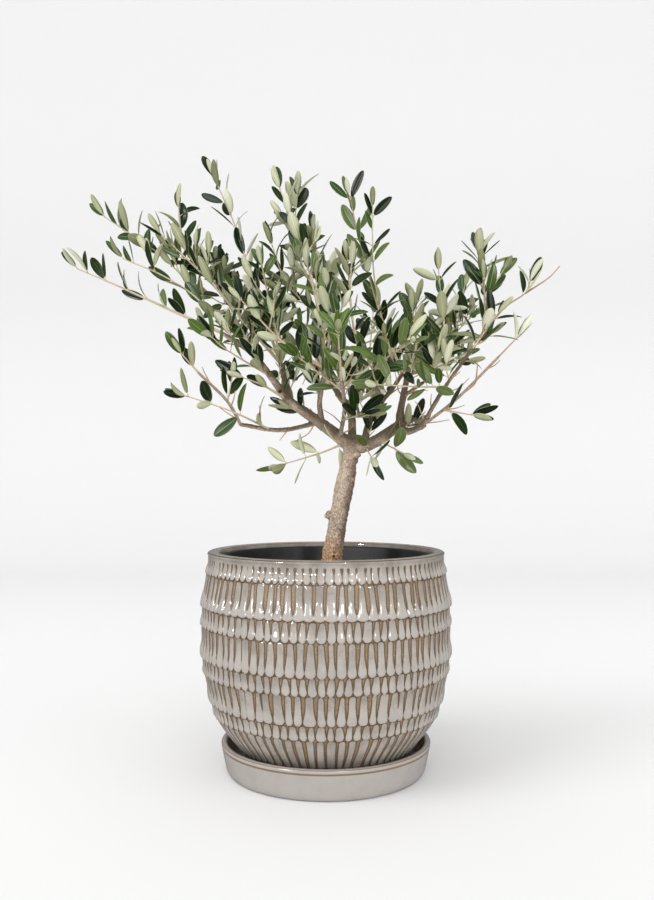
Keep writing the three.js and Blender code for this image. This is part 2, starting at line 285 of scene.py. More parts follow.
@dataclass
class Turned:
    """A body turned about +Z from rows of points that run round it.

    Its map lays each quarter of the turn in its own corner of the square, as `map_size` of the
    square's side with `map_edge` round it.
    """

    rows: np.ndarray
    closed: bool = False
    map_size: float = 0.485
    map_edge: float = 0.007
    map_top: float = 0.999
    map_spare: float = 1.06

    def chart(self, low: float, high: float) -> np.ndarray:
        """The map of one band of faces.

        Args:
            low: Where the band starts, as a share of the way from the first row.
            high: Where it ends.

        Returns:
            Two map coordinates for each of the four corners of each face.
        """
        sides = self.rows.shape[1]
        part, column = np.divmod(np.arange(sides), sides // 4)
        left = column / (sides // 4)
        right = left + 1 / (sides // 4)
        corners = [np.stack([place, np.full(sides, level)], 1)
                   for place, level in ((left, low), (right, low), (right, high), (left, high))]
        shift = np.stack([part % 2, part // 2], axis=1) * 0.5
        return np.stack(corners, 1) * self.map_size + self.map_edge + shift[:, None, :]

    def into(self, batch: Batch, finish: int = 0, cut: int | None = None) -> None:
        """Adds the body to a batch.

        Args:
            batch: Where it goes.
            finish: Its finish.
            cut: The row after which a sharp-edged face runs.
        """
        count, sides = self.rows.shape[:2]
        points = self.rows.reshape(-1, 3)
        column = np.arange(sides)
        ahead = (column + 1) % sides
        lengths = np.linalg.norm(np.diff(self.rows[:, 0], axis=0), axis=1)
        walked = np.concatenate([[0], np.cumsum(lengths)])
        walked = np.append(walked / (walked[-1] * self.map_spare), self.map_top)
        batch.add(points, np.empty((0, 4), int), finish, chart=np.empty((0, 4, 2)), own=False)
        start = batch.count - len(points)
        for k in range(count if self.closed else count - 1):
            low, high = start + k * sides, start + (k + 1) % count * sides
            faces = np.stack([low + column, low + ahead, high + ahead, high + column], axis=1)
            batch.add(points[:0], faces, finish, flat=k in (cut, count - 1),
                      chart=self.chart(walked[k], walked[k + 1]), own=False)
        if not self.closed:
            for row, ends in ((0, (0.0, 0.0)), (count - 1, (walked[-2], self.map_top))):
                edge = start + row * sides
                middle = np.mean(self.rows[row], axis=0, keepdims=True)
                hub = np.full(sides, batch.count)
                order = [hub, edge + ahead, edge + column] if row == 0 else [hub, edge + column, edge + ahead]
                batch.add(middle, np.stack(order, axis=1), finish, chart=self.chart(*ends)[:, :3], own=False)


def ring(radius: float | np.ndarray, height: float | np.ndarray, sides: int) -> np.ndarray:
    """Points round the axis.

    Args:
        radius: The radius, or one for each side.
        height: The height, or one for each side.
        sides: How many points.

    Returns:
        The points, starting at the front and going to the right.
    """
    angle = np.arange(sides) / sides * TURN
    level = np.broadcast_to(height, sides)
    return np.stack([radius * np.sin(angle), -radius * np.cos(angle), level], axis=1)


def tube(batch: Batch, centres: np.ndarray, radii: np.ndarray, sides: int, finish: int = 0,
         heading: np.ndarray | None = None, bulge: tuple[float, float] = (0.4, 0.6)) -> None:
    """Adds a closed round tube along a run of points.

    Args:
        batch: Where it goes.
        centres: The run.
        radii: The radius at each of its points.
        sides: How many sides.
        finish: Its finish.
        heading: One way that all its rings face, if they don't follow the run.
        bulge: How far its two ends stand out, as shares of the radius there.
    """
    ways = unit(np.gradient(centres, axis=0)) if heading is None else np.tile(heading, (len(centres), 1))
    side, other = across(ways)
    angle = np.arange(sides) / sides * TURN
    around = side[:, None] * np.cos(angle)[None, :, None] + other[:, None] * np.sin(angle)[None, :, None]
    shell = centres[:, None] + around * radii[:, None, None]
    ends = np.stack([centres[0] - ways[0] * radii[0] * bulge[0], centres[-1] + ways[-1] * radii[-1] * bulge[1]])
    points = np.concatenate([shell.reshape(-1, 3), ends])
    column = np.arange(sides)
    ahead = (column + 1) % sides
    rows = (np.arange(len(centres) - 1) * sides)[:, None]
    quads = np.stack([rows + column, rows + ahead, rows + sides + ahead, rows + sides + column], axis=-1)
    top = (len(centres) - 1) * sides
    hub = np.full(sides, len(points) - 2)
    caps = np.concatenate([np.stack([hub, ahead, column], 1), np.stack([hub + 1, top + column, top + ahead], 1)])
    batch.add(points, quads.reshape(-1, 4), finish)
    batch.add(points[:0], caps + batch.count - len(points), finish, own=False)


# ---- shader tools ----


class Pen:
    """Lays shader nodes in one node tree."""

    def __init__(self, tree: bpy.types.NodeTree) -> None:
        """Keeps the tree."""
        self.tree = tree

    def node(self, kind: str, **settings: object) -> bpy.types.Node:
        """Returns a new node with these settings."""
        made = self.tree.nodes.new(kind)
        for key, value in settings.items():
            setattr(made, key, value)
        return made

    def feed(self, target: bpy.types.NodeSocket, value: object) -> None:
        """Sets a socket to a value, or links it to another socket."""
        if isinstance(value, bpy.types.NodeSocket):
            self.tree.links.new(value, target)
        else:
            target.default_value = value

    def where(self, stretch: Place = (1, 1, 1)) -> bpy.types.NodeSocket:
        """The place on the object, in metres.

        Args:
            stretch: A factor for each axis.

        Returns:
            A socket that gives it.
        """
        place = self.node("ShaderNodeTexCoord").outputs["Object"]
        if stretch == (1, 1, 1):
            return place
        mapping = self.node("ShaderNodeMapping")
        self.feed(mapping.inputs["Vector"], place)
        self.feed(mapping.inputs["Scale"], stretch)
        return mapping.outputs["Vector"]

    def noise(self, place: bpy.types.NodeSocket, scale: object, detail: float = 3,
              rough: float = 0.5) -> bpy.types.NodeSocket:
        """Returns noise between 0 and 1 at a place."""
        made = self.node("ShaderNodeTexNoise")
        for key, value in (("Vector", place), ("Scale", scale), ("Detail", detail), ("Roughness", rough)):
            self.feed(made.inputs[key], value)
        return made.outputs["Fac"]

    def reckon(self, operation: str, first: object, second: object) -> bpy.types.NodeSocket:
        """Returns the result of an arithmetic node."""
        made = self.node("ShaderNodeMath", operation=operation)
        self.feed(made.inputs[0], first)
        self.feed(made.inputs[1], second)
        return made.outputs[0]

    def plus(self, first: object, second: object) -> bpy.types.NodeSocket:
        """Returns a sum."""
        return self.reckon("ADD", first, second)

    def minus(self, first: object, second: object) -> bpy.types.NodeSocket:
        """Returns a difference."""
        return self.reckon("SUBTRACT", first, second)

    def times(self, first: object, second: object) -> bpy.types.NodeSocket:
        """Returns a product."""
        return self.reckon("MULTIPLY", first, second)

    def between(self, value: object, low: object, high: object, to: tuple = (0.0, 1.0)) -> bpy.types.NodeSocket:
        """Returns a value spread from low..high onto another range, with soft ends."""
        made = self.node("ShaderNodeMapRange", interpolation_type="SMOOTHSTEP")
        for key, given in zip(("Value", "From Min", "From Max", "To Min", "To Max"), (value, low, high, *to)):
            self.feed(made.inputs[key], given)
        return made.outputs["Result"]

    def blend(self, share: object, first: object, second: object) -> bpy.types.NodeSocket:
        """Returns a mix of two colours."""
        made = self.node("ShaderNodeMix", data_type="RGBA")
        for key, value in (("Factor", share), (6, first), (7, second)):
            self.feed(made.inputs[key], value)
        return made.outputs[2]

    def bump(self, height: object, strength: float, distance: float) -> bpy.types.NodeSocket:
        """Returns normals raised by a height."""
        made = self.node("ShaderNodeBump")
        for key, value in (("Strength", strength), ("Distance", distance), ("Height", height)):
            self.feed(made.inputs[key], value)
        return made.outputs["Normal"]

    def mark(self, name: str) -> bpy.types.NodeSocket:
        """Returns a value that the mesh carries at its points."""
        return self.node("ShaderNodeAttribute", attribute_name=name).outputs["Fac"]

    def place(self, group: bpy.types.NodeTree, inputs: dict[str, object]) -> bpy.types.Node:
        """Returns a group node with these inputs."""
        made = self.node("ShaderNodeGroup", node_tree=group)
        for key, value in inputs.items():
            self.feed(made.inputs[key], value)
        return made


def new_group(name: str, inputs: dict[str, float],
              outputs: list[str]) -> tuple[bpy.types.NodeTree, Pen, bpy.types.Node, bpy.types.Node]:
    """Starts a shader node group.

    Args:
        name: Its name.
        inputs: Its number inputs and their usual values.
        outputs: Its number outputs.

    Returns:
        The group, a pen in it, its input node and its output node.
    """
    group = bpy.data.node_groups.new(name, "ShaderNodeTree")
    for label, usual in inputs.items():
        group.interface.new_socket(label, in_out="INPUT", socket_type="NodeSocketFloat").default_value = usual
    for label in outputs:
        group.interface.new_socket(label, in_out="OUTPUT", socket_type="NodeSocketFloat")
    pen = Pen(group)
    return group, pen, pen.node("NodeGroupInput"), pen.node("NodeGroupOutput")


def mottle_group() -> bpy.types.NodeTree:
    """Cloudy change of tone with fine grain in it.

    Returns:
        A group that gives a Tone mask and a Grain height.
    """
    group, pen, given, gives = new_group("Mottle", {"Size": 60.0, "Fine": 700.0}, ["Tone", "Grain"])
    cloud = pen.noise(pen.where(), given.outputs["Size"], 4, 0.6)
    grain = pen.noise(pen.where(), given.outputs["Fine"], 3, 0.65)
    mixed = pen.plus(pen.times(cloud, 0.75), pen.times(grain, 0.25))
    pen.feed(gives.inputs["Tone"], pen.between(mixed, 0.36, 0.64))
    pen.feed(gives.inputs["Grain"], grain)
    return group


def glaze_break_group() -> bpy.types.NodeTree:
    """Where a glaze thins over an edge and the clay shows.

    Returns:
        A group that turns the distance to the edge into a Line mask and a Bare mask.
    """
    inputs = {"Edge": 3.0, "Line Width": 0.8, "Ragged": 0.5}
    group, pen, given, gives = new_group("GlazeBreak", inputs, ["Line", "Bare"])
    rough = pen.minus(pen.noise(pen.where(), 420.0, 3, 0.6), 0.5)
    edge = pen.plus(given.outputs["Edge"], pen.times(rough, given.outputs["Ragged"]))
    pen.feed(gives.inputs["Line"], pen.between(edge, 0.42, -0.08))
    width = pen.times(given.outputs["Line Width"], -1.0)
    pen.feed(gives.inputs["Bare"], pen.between(edge, width, pen.minus(width, 0.6)))
    return group


@dataclass(frozen=True)
class Finish:
    """A surface with one colour, gloss and a fine grain.

    `grain` is the strength of the grain, `grain_size` its scale and `depth` its height in metres.
    """

    name: str
    colour: Colour
    rough: float
    grain: float = 0.12
    grain_size: float = 900.0
    depth: float = 0.0004
    shine: float = 0.5

    def start(self) -> tuple[bpy.types.Material, Pen, bpy.types.Node]:
        """Starts the material.

        Returns:
            The material, a pen in it and its shader.
        """
        made = bpy.data.materials.new(self.name)
        made.use_nodes = True
        shader = made.node_tree.nodes["Principled BSDF"]
        shader.inputs["Base Color"].default_value = self.colour
        shader.inputs["Roughness"].default_value = self.rough
        shader.inputs["Specular IOR Level"].default_value = self.shine
        return made, Pen(made.node_tree), shader

    def material(self) -> bpy.types.Material:
        """Makes the material.

        Returns:
            The material, with all its nodes.
        """
        made, pen, shader = self.start()
        grain = pen.noise(pen.where(), self.grain_size, 2)
        pen.feed(shader.inputs["Normal"], pen.bump(grain, self.grain, self.depth))
        return made


@dataclass(frozen=True)
class GlazeFinish(Finish):
    """Glossy glaze that pools pale, thins to grey and breaks to brown clay at edges.

    The mesh marks "edge", the distance inside a broken edge, and "drop", the share of the
    petal's fall, at which the glaze turns grey: partly real thin glaze, partly painted shade
    at the petals' tops under the row above and near the pot's foot.
    """

    pale: Colour = paint(182, 176, 169)
    # thin glaze grey, which on the pot also paints shade at the petals' tops and near the foot
    thin: Colour = paint(138, 131, 123)
    line: Colour = paint(100, 78, 54)
    bare: Colour = paint(136, 110, 80)
    speckled: Colour = paint(170, 148, 118)
    line_width: float = 0.75
    ragged: float = 0.5
    cloud_size: float = 45.0
    fine: float = 650.0
    fall_share: float = 0.46
    cloud_share: float = 0.35
    clay_rough: float = 0.6

    def material(self) -> bpy.types.Material:
        """Makes the material.

        Returns:
            The material, with all its nodes.
        """
        made, pen, shader = self.start()
        mottle = pen.place(GROUPS["mottle"], {"Size": self.cloud_size, "Fine": self.fine})
        edge = pen.mark("edge")
        broken = pen.place(GROUPS["glaze_break"], {"Edge": edge, "Line Width": self.line_width,
                                                   "Ragged": self.ragged})
        # a high drop greys the glaze: partly real thin glaze, partly painted shade under each row of petals
        depth = pen.plus(pen.times(pen.mark("drop"), self.fall_share),
                         pen.times(mottle.outputs["Tone"], self.cloud_share))
        glaze = pen.blend(pen.between(depth, 0.1, 0.95), self.pale, self.thin)
        clay = pen.blend(pen.between(mottle.outputs["Grain"], 0.52, 0.66), self.bare, self.speckled)
        dark = pen.blend(broken.outputs["Bare"], self.line, clay)
        pen.feed(shader.inputs["Base Color"], pen.blend(broken.outputs["Line"], glaze, dark))
        pen.feed(shader.inputs["Roughness"], pen.between(edge, -0.6, 0.1, (self.clay_rough, self.rough)))
        pen.feed(shader.inputs["Normal"], pen.bump(mottle.outputs["Grain"], self.grain, self.depth))
        return made


@dataclass(frozen=True)
class MottledFinish(Finish):
    """A matt surface whose tone drifts between two colours, with spots of a third."""

    second: Colour = (0.5, 0.5, 0.5, 1)
    third: Colour = (0.5, 0.5, 0.5, 1)
    size: float = 90.0
    fine: float = 900.0
    third_from: float = 0.6
    spot_edge: float = 0.06

    def material(self) -> bpy.types.Material:
        """Makes the material.

        Returns:
            The material, with all its nodes.
        """
        made, pen, shader = self.start()
        mottle = pen.place(GROUPS["mottle"], {"Size": self.size, "Fine": self.fine})
        tone = pen.blend(mottle.outputs["Tone"], self.colour, self.second)
        spots = pen.between(mottle.outputs["Grain"], self.third_from, self.third_from + self.spot_edge)
        pen.feed(shader.inputs["Base Color"], pen.blend(spots, tone, self.third))
        pen.feed(shader.inputs["Normal"], pen.bump(mottle.outputs["Grain"], self.grain, self.depth))
        return made


@dataclass(frozen=True)
class PaperFinish(Finish):
    """Matt paper whose tone changes along the sweep, so that it looks even in the studio's light.

    `stops` are metres back and up along the sweep, where each change of tone starts and ends.
    """

    second: Colour = (0.5, 0.5, 0.5, 1)
    third: Colour = (0.5, 0.5, 0.5, 1)
    stops: tuple = (0.0, 2.8, 4.0, 5.1)

    def material(self) -> bpy.types.Material:
        """Makes the material.

        Returns:
            The material, with all its nodes.
        """
        made, pen, shader = self.start()
        parts = pen.node("ShaderNodeSeparateXYZ")
        pen.feed(parts.inputs["Vector"], pen.where())
        far = pen.plus(parts.outputs["Y"], parts.outputs["Z"])
        low = pen.blend(pen.between(far, *self.stops[:2]), self.colour, self.second)
        pen.feed(shader.inputs["Base Color"], pen.blend(pen.between(far, *self.stops[2:]), low, self.third))
        return made


@dataclass(frozen=True)
class BarkFinish(Finish):
    """Young bark: pale ridges over darker cracks, with rusty and olive skin where the mesh marks it.

    The marks are "rust", "olive", one of painted shade on the stem's side away from the key light,
    "crease" for the bottom of a crack, partly the bark's own dark crack and partly painted shade,
    and "hollow" for a cut end, whose dark is painted shade. `cover` says how far each of the first
    three hides the bark's own tone.
    """

    ridge: Colour = paint(248, 227, 206)
    shade: Colour = paint(240, 214, 190)
    crack: Colour = paint(112, 80, 56)
    rust: Colour = paint(253, 198, 142)
    olive: Colour = paint(94, 78, 50)
    # painted shade for the stem's side away from the key light
    worn: Colour = paint(122, 98, 82)
    # painted shade: the near-black inside the shallow hollow of a cut stub
    hole_shade: Colour = paint(46, 30, 20)
    cover: tuple = (0.95, 0.9, 0.85)
    stretch: Place = (1.0, 1.0, 0.62)
    fleck_size: float = 480.0
    net_size: float = 520.0
    fleck_share: float = 0.25
    net_share: float = 0.3

    def material(self) -> bpy.types.Material:
        """Makes the material.

        Returns:
            The material, with all its nodes.
        """
        made, pen, shader = self.start()
        place = pen.where(self.stretch)
        mottle = pen.place(GROUPS["mottle"], {"Size": 80.0, "Fine": 900.0})
        flecks = pen.noise(place, self.fleck_size, 3, 0.6)
        cells = pen.node("ShaderNodeTexVoronoi", feature="DISTANCE_TO_EDGE")
        pen.feed(cells.inputs["Vector"], place)
        pen.feed(cells.inputs["Scale"], self.net_size)
        net = pen.times(pen.between(cells.outputs["Distance"], 0.2, 0.0), pen.between(flecks, 0.62, 0.36))
        tone = pen.blend(mottle.outputs["Tone"], self.ridge, self.shade)
        deep = self.fleck_share
        skins = (("rust", self.rust), ("olive", self.olive), ("worn", self.worn))
        for (label, colour), share in zip(skins, self.cover):
            mark = pen.mark(label)
            tone = pen.blend(pen.times(mark, share), tone, colour)
            # rust and the painted shade of the stem's far side also darken the flecks
            if label != "olive":
                deep = pen.plus(pen.times(mark, self.fleck_share), deep)
        tone = pen.blend(pen.times(pen.between(flecks, 0.54, 0.32), deep), tone, self.crack)
        # creases take the crack colour: partly the bark's own dark cracks, partly painted shade
        tone = pen.blend(pen.times(pen.mark("crease"), pen.plus(deep, 0.1)), tone, self.crack)
        tone = pen.blend(pen.times(net, self.net_share), tone, self.crack)
        # cut and torn ends take the painted shade of a hole
        pen.feed(shader.inputs["Base Color"], pen.blend(pen.mark("hollow"), tone, self.hole_shade))
        height = pen.plus(pen.times(flecks, 1.5), pen.times(mottle.outputs["Grain"], 0.35))
        height = pen.minus(height, pen.times(net, 0.35))
        pen.feed(shader.inputs["Normal"], pen.bump(height, self.grain, self.depth))
        return made


GROUPS = {"mottle": mottle_group(), "glaze_break": glaze_break_group()}


# ---- vessels ----


@dataclass(frozen=True)
class PetalShape:
    """The outline and the relief that all petals of one kind share.

    `rises` are places up the petal, from 0 to 1, and `grooves` half the width of the groove
    beside it there, less than 0 where petals touch. Its bell stands out by `low_stand` and its
    neck by `high_stand`, and its middle hangs lower than its sides by `hang`. A petal that isn't
    `capped` runs out of the lip.
    """

    rises: tuple
    grooves: tuple
    low_stand: float
    high_stand: float
    hang: float = 2.3
    corner: float = 3.0
    capped: bool = True


class Petal(Enum):
    """The kinds of raised petal: short drops, long tongues and even strips."""

    COLLAR = PetalShape((0, 0.12, 0.5, 0.8, 1), (0.25, 0.15, 0.75, 1.5, 1.2), 2.1, 0.6, capped=False)
    BELL = PetalShape((0, 0.08, 0.15, 0.24, 0.4, 0.9, 1), (-0.35, -0.2, 0.4, 1.35, 2.05, 2.15, 2.0), 2.9, 0.7,
                      hang=1.7, corner=1.2)
    TONGUE = PetalShape((0, 0.1, 0.2, 0.34, 0.55, 0.9, 1), (0.5, 0.35, 0.6, 1.35, 1.95, 2.25, 2.1), 2.6, 0.8)
    SHORT = PetalShape((0, 0.15, 0.35, 0.65, 1), (0.35, 0.3, 0.8, 1.6, 2.0), 2.3, 0.7)
    STRIPE = PetalShape((0, 0.15, 0.5, 1), (1.1, 1.25, 1.7, 2.0), 1.4, 1.0)


@dataclass(frozen=True)
class PetalRow:
    """One row of raised petals round the pot.

    `shift`, `lean` and `sway` are shares of the pitch, and `joined` is the chance that two
    petals have run together.
    """

    top: float
    bottom: float
    count: int
    kind: Petal
    seed: int
    shift: float = 0.14
    lean: float = 0.07
    sway: float = 0.035
    joined: float = 0.05
    joined_by: float = 1.2
    cap_corner: float = 2.7
    shoulder: float = 2.2
    bell_top: float = 0.56
    bell_fade: float = 0.44

    def relief(self, angles: np.ndarray, height: float, radius: float,
               fused: np.ndarray) -> tuple[np.ndarray, np.ndarray, np.ndarray]:
        """The row's shape along one level.

        Args:
            angles: Places round the pot, rising from 0 to a full turn.
            height: The level.
            radius: The pot's radius there.
            fused: How far petals have run together, at each place.

        Returns:
            The distance inside a petal's edge, how far it stands out, and the share of its fall.
        """
        shape, count = self.kind.value, self.count
        dice = np.random.default_rng(self.seed)
        pitch = TURN / count
        shift = dice.uniform(-self.shift, self.shift, count) * pitch
        lean = dice.normal(0, self.lean, count) * pitch
        sway = dice.uniform(0, TURN, count)
        width = dice.uniform(0.78, 1.2, count)
        joined = dice.random(count) < self.joined
        crown = dice.uniform(0.9, 1.9, count)
        swell = dice.uniform(0.85, 1.15, count)
        rise = (height - self.bottom) / (self.top - self.bottom)
        edge = np.sort(np.arange(count) * pitch + shift + lean * (rise - 0.5)
                       + self.sway * pitch * np.sin(sway + 5 * rise))
        spread = np.concatenate([[edge[-1] - TURN], edge, [edge[0] + TURN]])
        after = np.searchsorted(spread, angles)
        left, right = (after - 1) % len(spread), np.minimum(after, len(spread) - 1)
        number = (after - 2) % count
        groove = float(np.interp(rise, shape.rises, shape.grooves)) * width - joined * self.joined_by
        halves = np.concatenate([[groove[-1]], groove, [groove[0]]])
        gap_left, gap_right = (np.where(halves[k] > 0, halves[k] * (1 - fused), halves[k]) for k in (left, right))
        from_left = (angles - spread[left]) * radius
        from_right = (spread[right] - angles) * radius
        middle = (from_left - from_right) / np.maximum(from_left + from_right, 1e-6)
        side = np.minimum(from_left - gap_left, from_right - gap_right)
        under = height - (self.bottom - 0.7 + shape.hang * np.abs(middle) ** 2.2)
        full_from = self.soft(side, under * 1.9, shape.corner)
        inside = self.soft(side, under, shape.corner)
        if shape.capped:
            above = self.top - crown[number] - height
            inside, full_from = (self.soft(edge, above, self.cap_corner) for edge in (inside, full_from))
        bell = float(ease(np.array((self.bell_top - rise) / self.bell_fade)))
        stand = (shape.high_stand + (shape.low_stand - shape.high_stand) * bell) * swell[number]
        dome = np.sqrt(np.clip(1 - (1 - np.clip(full_from / self.shoulder, 0, 1)) ** 2, 0, 1))
        return inside, stand * dome, np.full(len(angles), rise)

    @staticmethod
    def soft(first: np.ndarray, second: np.ndarray | float, radius: float) -> np.ndarray:
        """Returns the lesser of two distances, with a round corner where both are small."""
        near, far = radius - first, radius - second
        return np.where((near > 0) & (far > 0), radius - np.hypot(near, far), np.minimum(first, second))


@dataclass
class CoverPot:
    """The ribbed glazed pot, in two pieces that meet where its ribs run straight.

    `outside` is heights and radii of the wall under the petals, `lip` radii and heights from the
    outside in, and `lip_edges` how far points of the lip lie inside the glaze's broken edge,
    with `whole` as the mark for far from one. Petals have run together at `fused_at`, in radians
    from the front.
    """

    sides: int = 760
    base: float = 8.3
    split: float = 157.0
    wall: float = 9.5
    floor: float = 25.8
    whole: float = 3.0
    ribs_top: float = 240.8
    upper_step: float = 0.92
    lower_step: float = 1.22
    fused_at: float = TURN - 0.66
    fused_reach: float = 0.05
    fused_share: float = 0.8
    fade_top: float = 240.2
    fade_height: float = 3.6
    outside: tuple = ((8.3, 92), (22, 93), (33, 100.5), (45.3, 110.2), (58.6, 119.6), (74, 126.4), (88, 130),
                      (103, 133.4), (120, 136.6), (134, 138), (150, 138), (165, 138.3), (178, 137.9),
                      (191, 137.2), (203, 136), (218, 133.6), (228, 132.4), (235, 131.3), (240.4, 131.8))
    lip: tuple = ((131.9, 241), (132.3, 241.6), (132.5, 242.2), (132.5, 242.9), (132.2, 243.6), (131.5, 244.3),
                  (130.1, 244.9), (128, 245.1), (123.5, 245.1), (121.6, 244.7), (120.5, 243.8), (120, 242.4),
                  (120, 238))
    lip_edges: tuple = ((3, 1.2), (4, 0.2), (5, -0.5), (6, 1.2), (9, 1.2), (10, -0.1), (11, 1.0))
    rows: tuple = (
        PetalRow(241.4, 222.2, 106, Petal.COLLAR, 11),
        PetalRow(222.4, 186.6, 81, Petal.BELL, 12),
        PetalRow(187.0, 165.6, 94, Petal.SHORT, 13),
        PetalRow(166.2, 131.2, 86, Petal.TONGUE, 14),
        PetalRow(131.8, 113.0, 93, Petal.SHORT, 15),
        PetalRow(113.8, 81.8, 77, Petal.TONGUE, 16),
        PetalRow(82.4, 65.8, 86, Petal.SHORT, 17),
        PetalRow(66.4, 30.0, 69, Petal.STRIPE, 18),
    )
    glaze: GlazeFinish = GlazeFinish("pot_glaze", paint(178, 171, 163), 0.05, 0.045)

    def profile(self, height: float) -> float:
        """The wall's radius under the petals, on a smooth curve through the outside.

        Args:
            height: The level.

        Returns:
            The radius.
        """
        level, radius = np.array(self.outside).T
        slope = np.gradient(radius, level)
        k = np.clip(np.searchsorted(level, height) - 1, 0, len(level) - 2)
        gap = level[k + 1] - level[k]
        u = np.clip((height - level[k]) / gap, 0, 1)
        return float((2 * u ** 3 - 3 * u ** 2 + 1) * radius[k] + (u ** 3 - 2 * u ** 2 + u) * gap * slope[k]
                     + (3 * u ** 2 - 2 * u ** 3) * radius[k + 1] + (u ** 3 - u ** 2) * gap * slope[k + 1])

    def level(self, height: float) -> tuple[np.ndarray, np.ndarray, np.ndarray]:
        """One ring of the ribbed outside.

        Args:
            height: Its height.

        Returns:
            Its points, their distance inside a petal's edge and their share of its fall, raised near
            the foot as painted shade.
        """
        angles = np.arange(self.sides) / self.sides * TURN
        radius = self.profile(height)
        edge, stand, drop = np.full(self.sides, -self.whole), np.zeros(self.sides), np.ones(self.sides)
        fused = self.fused_share * np.exp(-(((angles - self.fused_at) / self.fused_reach) ** 2))
        for row in self.rows:
            if row.bottom - 2.5 <= height <= row.top + 0.5:
                inside, out, rise = row.relief(angles, height, radius, fused)
                drop = np.where(inside > edge, rise, drop)
                edge = np.maximum(edge, inside)
                stand = np.maximum(stand, out)
        fade = float(ease(np.array((self.fade_top - height) / self.fade_height)))
        edge = edge * fade + self.whole * (1 - fade)
        place = ring(radius + stand * fade, height, self.sides)
        place[:, :2] *= (1 + 0.0022 * lumps(place, 38, 5))[:, None]
        # the drop rises towards the foot as painted shade near the saucer
        return place, edge, np.clip(drop, 0, 1) + 0.7 * ease((60 - height) / 30)

    def smooth_ring(self, radius: float, height: float) -> tuple[np.ndarray, np.ndarray, np.ndarray]:
        """Returns a plain ring of whole glaze, with its marks."""
        return ring(radius, height, self.sides), np.full(self.sides, self.whole), np.ones(self.sides)

    def inner(self, low: float, high: float, count: int) -> list[tuple]:
        """Returns rings down the inner wall from a high level to a low one."""
        return [self.smooth_ring(self.profile(z) - self.wall + 1.5, z) for z in np.linspace(high, low, count)]

    def piece(self, name: str, rings: list[tuple], closed: bool, cut: int | None) -> None:
        """Makes one part of the pot from its rings.

        Args:
            name: The piece's name.
            rings: Its rings in order round the wall.
            closed: True if the last ring meets the first.
            cut: The ring after which a sharp-edged face runs.
        """
        batch = Batch()
        Turned(np.stack([points for points, _, _ in rings]), closed).into(batch, cut=cut)
        hubs = [] if closed else [rings[0], rings[-1]]
        for label, k in (("edge", 1), ("drop", 2)):
            batch.marks[label] = np.concatenate([each[k] for each in rings] + [each[k][:1] for each in hubs])
        batch.build(name, [self.glaze.material()], "pot_glaze", ["cover_pot"])

    def build(self) -> None:
        """Makes the pot as an upper and a lower piece."""
        upper = [self.level(z) for z in np.arange(self.split, self.ribs_top, self.upper_step)]
        rim = [self.smooth_ring(r, z) for r, z in self.lip]
        for k, edge in self.lip_edges:
            rim[k][1][:] = edge
        self.piece("cover_pot_upper", upper + rim + self.inner(self.split, 228, 6), True, None)
        heights = np.concatenate([np.linspace(self.base + 2, 30, 10), np.arange(31, self.split, self.lower_step),
                                  [self.split]])
        lower = [self.smooth_ring(r, z) for r, z in ((60, self.base), (90, self.base), (91.6, self.base + 0.5))]
        lower += [self.level(z) for z in heights]
        cut = len(lower) - 1
        lower += self.inner(40, self.split, 6) + [self.smooth_ring(r, self.floor) for r in (88, 50)]
        self.piece("cover_pot_lower", lower, False, cut)


@dataclass
class Saucer:
    """The glazed saucer, slightly uneven as a thrown one is.

    `breaks` is how far points of its outline lie inside the glaze's broken edge.
    """

    sides: int = 240
    outline: tuple = ((60, 0), (104, 0), (106.8, 0.2), (108.8, 1.1), (110.2, 2.7), (111.3, 5), (112.2, 8),
                      (113.1, 12), (114.1, 17), (115.1, 22), (116, 26.8), (116.7, 30), (116.9, 31.9),
                      (116.8, 33.1), (116.3, 34), (115.4, 34.5), (114, 34.7), (112.4, 34.6), (111.2, 34.2),
                      (110.4, 33.4), (110, 32.2), (109.6, 30), (108.4, 24), (107.2, 18), (106.2, 12.6),
                      (105, 9.6), (102.8, 8.3), (100, 8), (50, 8))
    breaks: tuple = ((10, 1.2), (11, -0.5), (12, 1.2), (13, 1.2), (14, -0.7), (15, 1.2), (17, 1.2), (18, -0.5),
                     (19, 1.2))
    whole: float = 3.0
    drop: float = 0.35
    glaze: GlazeFinish = GlazeFinish("saucer_glaze", paint(186, 180, 175), 0.2, 0.1,
                                     pale=paint(178, 172, 168), thin=paint(166, 159, 153),
                                     line=paint(128, 108, 78), line_width=3.0, ragged=0.35)

    def build(self) -> None:
        """Makes the saucer."""
        rows = np.stack([ring(r, z, self.sides) for r, z in self.outline])
        wave = 1 + 0.0016 * lumps(rows.reshape(-1, 3), 70, 3).reshape(rows.shape[:2])
        rows[:, :, :2] *= wave[..., None]
        batch = Batch()
        Turned(rows).into(batch)
        edges = dict(self.breaks)
        edge = [np.full(self.sides, edges.get(k, self.whole)) for k in range(len(rows))]
        edge = np.concatenate([*edge, [self.whole] * 2])
        batch.marks = {"edge": edge, "drop": np.full(len(edge), self.drop)}
        batch.build("saucer_dish", [self.glaze.material()], "saucer_glaze", ["saucer"])


